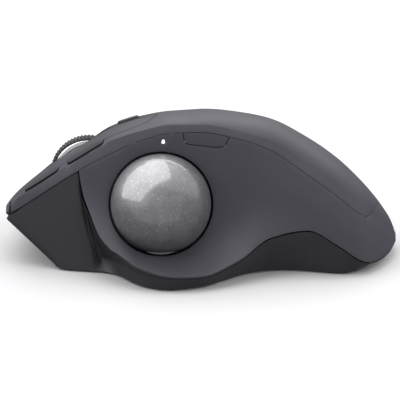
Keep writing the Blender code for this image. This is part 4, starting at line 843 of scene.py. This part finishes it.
def case_bm(skin):
    wall = case_walls(skin, RIB_STEPS)
    side = outward(wall[0][:, :2])
    rows, columns = wall.shape[:2]
    along = np.roll(wall, -1, axis=1) - np.roll(wall, 1, axis=1)
    down = np.gradient(wall, axis=0)
    normal = np.cross(along, down)
    normal /= np.linalg.norm(normal, axis=-1, keepdims=True)
    out = np.sign((normal[..., :2] * side[None]).sum(axis=-1, keepdims=True))
    middle = wall - CASE_WALL * normal * out
    inner = [np.column_stack([drawn_in(wall[0][:, :2], CASE_WALL), wall[0][:, 2]])]
    end = np.zeros((columns, 3))
    for k in range(columns):
        clear = middle[:, k, 2] - floor_top(middle[:, k, 0])
        if clear[1] < 0.8:
            p = inner[0][k].copy()
            p[:2] -= side[k] * 1.2
            p[2] = floor_top(p[0])
            end[k] = p
            continue
        hit = np.nonzero(clear < 0)[0]
        j = hit[0] if len(hit) else rows - 1
        f = clear[j - 1] / (clear[j - 1] - clear[j])
        end[k] = middle[j - 1, k] + (middle[j, k] - middle[j - 1, k]) * min(f, 1.0)
        end[k, 2] = floor_top(end[k, 0])
    for s in (0.35, 0.7):
        inner.append(inner[0] + (end - inner[0]) * s)
    inner.append(end)
    rings = [*wall[::-1], *inner]
    points = [p for ring in rings for p in ring]
    numbers = [list(range(r * columns, (r + 1) * columns)) for r in range(len(rings))]
    faces = [f for upper, lower in zip(numbers, numbers[1:]) for f in band(upper, lower)]
    for ring, z_of, folds in ((0, underside, STEP_X), (len(rings) - 1, floor_top, (FOLD_X,))):
        loop = rings[ring]
        q, triangles = filled(loop, z_of, 9.0, folds)
        same_way = area2(loop[:, :2]) > 0
        first = ring * columns
        index = [first + (k if same_way else columns - 1 - k) for k in range(columns)]
        index += list(range(len(points), len(points) + len(q) - columns))
        points += [*q[columns:]]
        faces += [tuple(index[c] for c in f) for f in triangles]
    return bm_of(points, faces)


def plate_outline(by):
    """The base plate's plan outline, inside the case's rim and short of the switch in front."""
    foot = smooth([(x, y) for _, _, x, y in RIBS], 4, closed=True)
    loop = inset(resample(anticlockwise(foot), 3.0), by)
    loop[:, 1] = np.minimum(loop[:, 1], PLATE_FRONT_Y + (2.4 - by))
    return resample(loop, 3.2)


PLATE_FRONT_Y = 39.0
POWER_AT = (-14.0, 43.8)
EJECT_AT = (-28.0, 13.6)
EJECT_R = 6.0
USB_AT = (-9.0, 55.6, 10.4)


# ---------------------------------------------------------------- materials
def new_material(name, colour, roughness, metallic=0.0):
    made = bpy.data.materials.new(name)
    made.use_nodes = True
    tree = made.node_tree
    shader = tree.nodes["Principled BSDF"]
    feed(tree, shader, Base_Color=(*colour, 1), Roughness=roughness, Metallic=metallic)
    return made, tree, shader


def feed(tree, node, **inputs):
    """Sets a node's inputs, or links those given as sockets. Their names have _ for a space."""
    for key, value in inputs.items():
        socket = node.inputs[key.replace("_", " ")]
        if isinstance(value, bpy.types.NodeSocket):
            tree.links.new(value, socket)
        else:
            socket.default_value = value
    return node


def new_node(tree, kind, **inputs):
    return feed(tree, tree.nodes.new("ShaderNode" + kind), **inputs)


def own_coordinates(tree):
    return new_node(tree, "TexCoord").outputs["Object"]


def noise(tree, scale, detail=3.0, stretch=(1, 1, 1)):
    """A noise texture's values, in the object's own coordinates, which are in metres."""
    mapping = new_node(tree, "Mapping", Scale=stretch, Vector=own_coordinates(tree))
    texture = new_node(tree, "TexNoise", Scale=scale, Detail=detail, Vector=mapping.outputs["Vector"])
    return texture.outputs["Fac"]


def spread(tree, source, low, high, near=0.3, far=0.7):
    """Maps a texture's middle values to the range from low to high."""
    ends = {"From_Min": near, "From_Max": far, "To_Min": low, "To_Max": high}
    return new_node(tree, "MapRange", Value=source, **ends).outputs["Result"]


def tinted(tree, shader, colour, factor):
    """Multiplies the base colour by a factor that varies over the surface."""
    scaled = new_node(tree, "VectorMath")
    scaled.operation = "SCALE"
    scaled.inputs[0].default_value = colour
    feed(tree, scaled, Scale=factor)
    feed(tree, shader, Base_Color=scaled.outputs["Vector"])


def bumped(tree, shader, height, strength, depth):
    bump = new_node(tree, "Bump", Strength=strength, Distance=depth, Height=height)
    feed(tree, shader, Normal=bump.outputs["Normal"])


def plastic(name, colour, roughness, grain=3200.0, strength=0.12, mottle=0.05, specular=0.5):
    """Moulded plastic: a fine grain, faint mottling and slightly uneven gloss."""
    made, tree, shader = new_material(name, colour, roughness)
    fine, broad = noise(tree, grain, 2.0), noise(tree, 90.0, 4.0)
    tinted(tree, shader, colour, spread(tree, broad, 1 - mottle, 1 + mottle))
    gloss = spread(tree, broad, roughness - 0.04, roughness + 0.04)
    feed(tree, shader, Specular_IOR_Level=specular, Roughness=gloss)
    bumped(tree, shader, fine, strength, 0.00005)
    return made


def metal(name, colour, roughness, stretch=(1, 1, 1), grain=900.0, strength=0.05):
    """Turned or brushed metal, whose fine scratches run along its stretched axis."""
    made, tree, shader = new_material(name, colour, roughness, 1.0)
    lines = noise(tree, grain, 3.0, stretch)
    tinted(tree, shader, colour, spread(tree, lines, 0.93, 1.05))
    feed(tree, shader, Roughness=spread(tree, lines, roughness * 0.8, roughness * 1.3))
    bumped(tree, shader, lines, strength, 0.00003)
    return made


def ball_resin():
    """Pearl grey resin under a clear gloss, with fine glitter flakes."""
    colour = (0.205, 0.205, 0.217)
    made, tree, shader = new_material("ball_resin", colour, 0.5, 0.8)
    feed(tree, shader, Coat_Weight=1.0, Coat_Roughness=0.03, Coat_IOR=1.56)
    flakes = new_node(tree, "TexVoronoi", Scale=2300.0, Vector=own_coordinates(tree))
    parts = new_node(tree, "SeparateColor", Color=flakes.outputs["Color"])
    sparkle = spread(tree, parts.outputs["Red"], 0.0, 1.0, 0.7, 1.0)
    centre = spread(tree, flakes.outputs["Distance"], 1.0, 0.0, 0.15, 0.45)
    both = new_node(tree, "Math")
    both.operation = "MULTIPLY"
    tree.links.new(sparkle, both.inputs[0])
    tree.links.new(centre, both.inputs[1])
    factor = spread(tree, noise(tree, 260.0, 3.0), 0.9, 1.12)
    total = new_node(tree, "Math")
    total.operation = "MULTIPLY_ADD"
    total.inputs[1].default_value = 1.7
    tree.links.new(both.outputs["Value"], total.inputs[0])
    tree.links.new(factor, total.inputs[2])
    tinted(tree, shader, colour, total.outputs["Value"])
    return made


def lens(name, colour, glow):
    made, tree, shader = new_material(name, colour, 0.25)
    feed(tree, shader, Emission_Color=(*colour, 1), Emission_Strength=glow)
    bumped(tree, shader, noise(tree, 1500.0), 0.05, 0.00003)
    return made


def circuit_board():
    """Green solder mask over faint straight tracks."""
    colour = (0.006, 0.022, 0.014)
    made, tree, shader = new_material("circuit_board", colour, 0.35)
    wave = new_node(tree, "TexWave", Scale=350.0, Distortion=2.5, Vector=own_coordinates(tree))
    tracks = wave.outputs["Fac"]
    tinted(tree, shader, colour, spread(tree, tracks, 0.8, 1.3, 0.2, 0.8))
    bumped(tree, shader, tracks, 0.15, 0.00004)
    return made


def make_materials():
    return {
        "graphite_shell": plastic("graphite_shell", (0.0385, 0.0365, 0.0455), 0.55, specular=0.28),
        "graphite_base": plastic("graphite_base", (0.0205, 0.0195, 0.0238), 0.5, specular=0.4),
        "black_keys": plastic("black_keys", (0.024, 0.023, 0.027), 0.55, 2600.0, 0.06, 0.05, 0.25),
        "ball_resin": ball_resin(),
        "black_rubber": plastic("black_rubber", (0.007, 0.007, 0.008), 0.5, 1800.0, 0.1, 0.1, 0.3),
        "bright_metal": metal("bright_metal", (0.78, 0.78, 0.8), 0.14),
        "steel": metal("steel", (0.1, 0.1, 0.105), 0.45, (1, 12, 1)),
        "inner_plastic": plastic("inner_plastic", (0.022, 0.022, 0.025), 0.55),
        "circuit_board": circuit_board(),
        "white_lens": lens("white_lens", (0.9, 0.9, 0.9), 0.9),
        "clear_lens": lens("clear_lens", (0.6, 0.65, 0.7), 0.0),
        "ceramic": plastic("ceramic", (0.8, 0.78, 0.74), 0.15, 2000.0, 0.03),
        "battery_foil": metal("battery_foil", (0.55, 0.55, 0.57), 0.35, (1, 1, 4), 400.0, 0.2),
        "magnet": metal("magnet", (0.6, 0.6, 0.62), 0.25, (1, 9, 1)),
    }


# ---------------------------------------------------------------- pieces
def shaded(mesh, sharp):
    """The mesh shaded smooth, apart from edges sharper than this many degrees."""
    mesh.shade_smooth()
    mesh.set_sharp_from_angle(angle=math.radians(sharp))
    return mesh


def mesh_of(name, bm, sharp=40):
    bmesh.ops.recalc_face_normals(bm, faces=bm.faces)
    if bm.calc_volume(signed=True) < 0:
        bmesh.ops.reverse_faces(bm, faces=bm.faces)
    bmesh.ops.scale(bm, vec=(MM, MM, MM), verts=bm.verts)
    mesh = bpy.data.meshes.new(name)
    bm.to_mesh(mesh)
    bm.free()
    return shaded(mesh, sharp)


def new_object(name, mesh):
    obj = bpy.data.objects.new(name, mesh)
    bpy.context.scene.collection.objects.link(obj)
    return obj


def stand_in(name, bm, slot, materials, body, replaced, sharp=40):
    """A fine piece that is shown in place of a CAD node and moves with its body."""
    obj = new_object(name, mesh_of(name, bm, sharp))
    finish_piece(obj, slot, materials, body, replaced)
    return obj


def finish_piece(obj, slot, materials, body, replaced):
    obj.data.materials.clear()
    obj.data.materials.append(materials[slot])
    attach(obj, body)
    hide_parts(replaced)


def carved(obj, tools):
    """The object with each tool shape cut out of it, or joined on, and its modifiers applied."""
    helpers = []
    for number, (operation, bm) in enumerate(tools):
        tool = new_object(f"{obj.name}_tool_{number}", mesh_of("tool", bm))
        step = obj.modifiers.new(tool.name, "BOOLEAN")
        step.operation = operation
        step.solver = "EXACT"
        step.object = tool
        helpers.append(tool)
    graph = bpy.context.evaluated_depsgraph_get()
    made = bpy.data.meshes.new_from_object(obj.evaluated_get(graph))
    obj.modifiers.clear()
    obj.data = made
    for tool in helpers:
        bpy.data.objects.remove(tool)
    shaded(made, 40)
    return obj


FINE = 1.7  # spacing of the shells' points
TIGHT = 0.05  # half of the hairline seam between two fixed panels
LOOSE = 0.22  # drawn in around a piece that moves


def make_shells(skin, materials):
    def shell(node, loops, slot, body, spacing=FINE, seam=TIGHT, **shape):
        ways = [1] + [-1] * (len(loops) - 1)
        loops = [shrunk(skin, loop, way * seam) for loop, way in zip(loops, ways)]
        bm = panel_bm(skin, loops, spacing, **shape)
        stand_in(f"{node}_shell", bm, slot, materials, body, node)

    shell("thumb_panel", thumb_panel_loops(skin), "graphite_shell", "case", depth=PANEL_DEPTH)
    shell("palm_cover", palm_cover_loops(skin), "graphite_shell", "case", depth=PANEL_DEPTH)
    shell("center_spine", spine_loops(skin), "black_keys", "case", 1.4)
    shell("left_button", left_button_loops(skin), "graphite_shell", "left_key", seam=0.36)
    shell("right_button", right_button_loops(skin), "graphite_shell", "right_key", seam=0.36)
    for node, body in (("back_button", "back_key"), ("forward_button", "forward_key")):
        outline = on_top(skin, key_outline(node))
        shell(node, [outline], "black_keys", body, 0.8, LOOSE, outer=0.6, depth=1.6, fillet=0.3)
    key = on_top(skin, rounded_box(*CHANNEL_KEY, 1.4))
    shell("channel_button", [key], "black_keys", "channel_key", 0.8, LOOSE, outer=0.7, depth=2.3,
          fillet=0.3)
    shell("precision_button", thumb_key_loops(skin), "graphite_shell", "precision_key", 1.0,
          0.15, outer=0.1, depth=2.8)


def make_case(skin, materials):
    case = new_object("bottom_case_fine", mesh_of("bottom_case_fine", case_bm(skin)))
    x, y = EJECT_AT
    power_x, power_y = POWER_AT
    usb_x, usb_y, usb_z = USB_AT
    recess = prism_bm(plate_outline(1.8), -1.0, CEILING + 0.03)
    eject = rod_bm((x, y, -1), (x, y, 8), EJECT_R, 48)
    slot = box_bm((power_x - 3, power_y - 1.1, 0), (power_x + 3, power_y + 1.1, 6))
    dish_z = RIM_Z + 0.62
    dish = box_bm((power_x - 4.7, power_y - 1.55, -1), (power_x + 4.7, power_y + 1.55, dish_z))
    port = box_bm((usb_x - 4.25, usb_y - 3, usb_z - 1.85), (usb_x + 4.25, usb_y + 12, usb_z + 1.85))
    bar = rod_bm((HINGE_X, -45.4, HINGE_Z), (HINGE_X, 14.4, HINGE_Z), 2.5, 32)
    carved(case, [("DIFFERENCE", tool) for tool in (recess, eject, slot, dish, port, bar)])
    finish_piece(case, "graphite_base", materials, "case", "bottom_case")


def make_ball(materials):
    ball = bmesh.new()
    bmesh.ops.create_icosphere(ball, subdivisions=6, radius=BALL_R)
    moved(ball, Matrix.Translation(BALL_AT))
    stand_in("ball", ball, "ball_resin", materials, "ball", "trackball")


def make_status_light(skin, materials):
    y, h = LED_AT
    place = on_side(skin, np.array([(y, h)]))
    point = Vector(skin.point(place[:, 0], place[:, 1])[0])
    normal = Vector(skin.normal(place[:, 0], place[:, 1])[0])
    profile = [(0, -3.4), (0.5, -3.4), (0.5, -0.12), (0.36, -0.03), (0.2, 0), (0, 0)]
    stand_in("light_pipe", turned_bm(profile, 32, frame_at(point, normal)), "white_lens", materials,
             "case", "status_light_pipe")


TYRE_RIDGES = 64
STEPS_PER_RIDGE = 8


def ridged_bm(profile, place):
    """A closed profile of (radius, height, groove) turned about Z, its outer face ridged."""
    bm = bmesh.new()
    steps = TYRE_RIDGES * STEPS_PER_RIDGE
    rings = []
    for k in range(steps):
        a = 2 * math.pi * k / steps
        wave = 0.5 - 0.5 * math.cos(2 * math.pi * k / STEPS_PER_RIDGE)
        rings.append([
            bm.verts.new(((r - groove * wave) * math.cos(a), (r - groove * wave) * math.sin(a), h))
            for r, h, groove in profile
        ])
    for ring, after in zip(rings, rings[1:] + rings[:1]):
        for corners in band(ring, after):
            bm.faces.new(corners)
    return moved(bm, place)


def make_wheel(materials):
    place = frame_at(WHEEL_AT, (1, 0, 0))
    half = WHEEL_WIDTH / 2 - 1.2
    outer, inner = WHEEL_R, 11.2
    tyre = [(inner, -half, 0), (outer - 0.8, -half, 0.1), (outer - 0.2, -half + 0.35, 0.4),
            (outer, -half + 1.0, 0.45), (outer, half - 1.0, 0.45), (outer - 0.2, half - 0.35, 0.4),
            (outer - 0.8, half, 0.1), (inner, half, 0)]
    stand_in("tyre", ridged_bm(tyre, place), "black_rubber", materials, "wheel", "wheel_tire", 60)
    rim = [(1.4, 2.6), (3.2, 2.9), (3.4, 1.2), (6.0, 1.0), (6.6, 1.5), (7.0, 3.0), (7.4, 3.3),
           (10.4, 3.15), (11.3, 2.9), (11.9, 2.7), (12.1, 2.5), (10.9, 2.45)]
    profile = rim + [(r, -h) for r, h in reversed(rim)]
    stand_in("rim", turned_bm(profile, 120, place), "bright_metal", materials, "wheel",
             "wheel_rim", 50)


def dress_nodes(frame, materials):
    """Gives every CAD node the material of its slot in the record."""
    slots = {part["node"]: part["material_slot"] for part in frame["record"]["subparts"]}
    for name, obj in frame["nodes"].items():
        obj.data.materials.clear()
        obj.data.materials.append(materials[slots[name]])


# ---------------------------------------------------------------- floor, light and camera
def make_floor():
    bm = bmesh.new()
    bmesh.ops.create_grid(bm, x_segments=1, y_segments=1, size=4.0)
    mesh = bpy.data.meshes.new("floor")
    bm.to_mesh(mesh)
    bm.free()
    floor = new_object("floor", mesh)
    floor.location.z = -0.0001
    made, _, _ = new_material("floor", (0.46, 0.46, 0.465), 0.9)
    mesh.materials.append(made)
    floor.visible_glossy = False


def area_light(name, direction, distance, size, strength, roll=0.0):
    """A softbox that shines on the object from a direction."""
    light = bpy.data.lights.new(name, "AREA")
    light.shape = "RECTANGLE"
    light.size, light.size_y = size
    light.energy = strength
    obj = new_object(name, light)
    way = Vector(direction).normalized()
    obj.location = Vector((0, 0, 0.025)) + way * distance
    turn = way.to_track_quat("Z", "Y").to_matrix() @ Matrix.Rotation(roll, 3, "Z")
    obj.rotation_euler = turn.to_euler()
    return obj


def make_lights():
    world = bpy.data.worlds.new("world")
    world.use_nodes = True
    background = world.node_tree.nodes["Background"]
    feed(world.node_tree, background, Color=(0.95, 0.97, 1.0, 1), Strength=0.18)
    bpy.context.scene.world = world
    area_light("top_softbox", (0.06, 0.54, 0.84), 0.73, (1.6, 1.1), 17.0, math.radians(116))
    area_light("overhead_softbox", (0.35, -0.4, 0.85), 1.0, (2.4, 2.2), 12.0)
    fill = area_light("tail_softbox", (-0.33, -0.87, 0.36), 0.55, (1.2, 0.9), 6.8)
    fill.visible_glossy = False
    area_light("front_softbox", (-0.95, 0.12, 0.1), 1.0, (2.6, 1.3), 4.0)
    area_light("rear_softbox", (0.85, -0.15, 0.5), 1.0, (1.0, 0.5), 3.0)


CAMERA_ELEVATION = 20.0
CAMERA_LENS = 1000.0
FRAME_WIDTH = 0.400 / 2.94  # metres across the picture at the object
AIM = (0.0, 0.0004, 0.0153)


def make_camera():
    camera = bpy.data.cameras.new("camera")
    camera.lens = CAMERA_LENS
    camera.clip_end = 20.0
    obj = new_object("camera", camera)
    e = math.radians(CAMERA_ELEVATION)
    way = Vector((-math.cos(e), 0, math.sin(e)))
    obj.location = Vector(AIM) + way * FRAME_WIDTH * CAMERA_LENS / camera.sensor_width
    obj.rotation_euler = way.to_track_quat("Z", "Y").to_euler()
    bpy.context.scene.camera = obj


def main():
    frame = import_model()
    make_camera()
    make_lights()
    make_floor()
    bpy.context.scene.view_settings.view_transform = "Standard"
    materials = make_materials()
    dress_nodes(frame, materials)
    skin = Skin()
    make_shells(skin, materials)
    make_case(skin, materials)
    make_ball(materials)
    make_wheel(materials)
    make_status_light(skin, materials)


main()
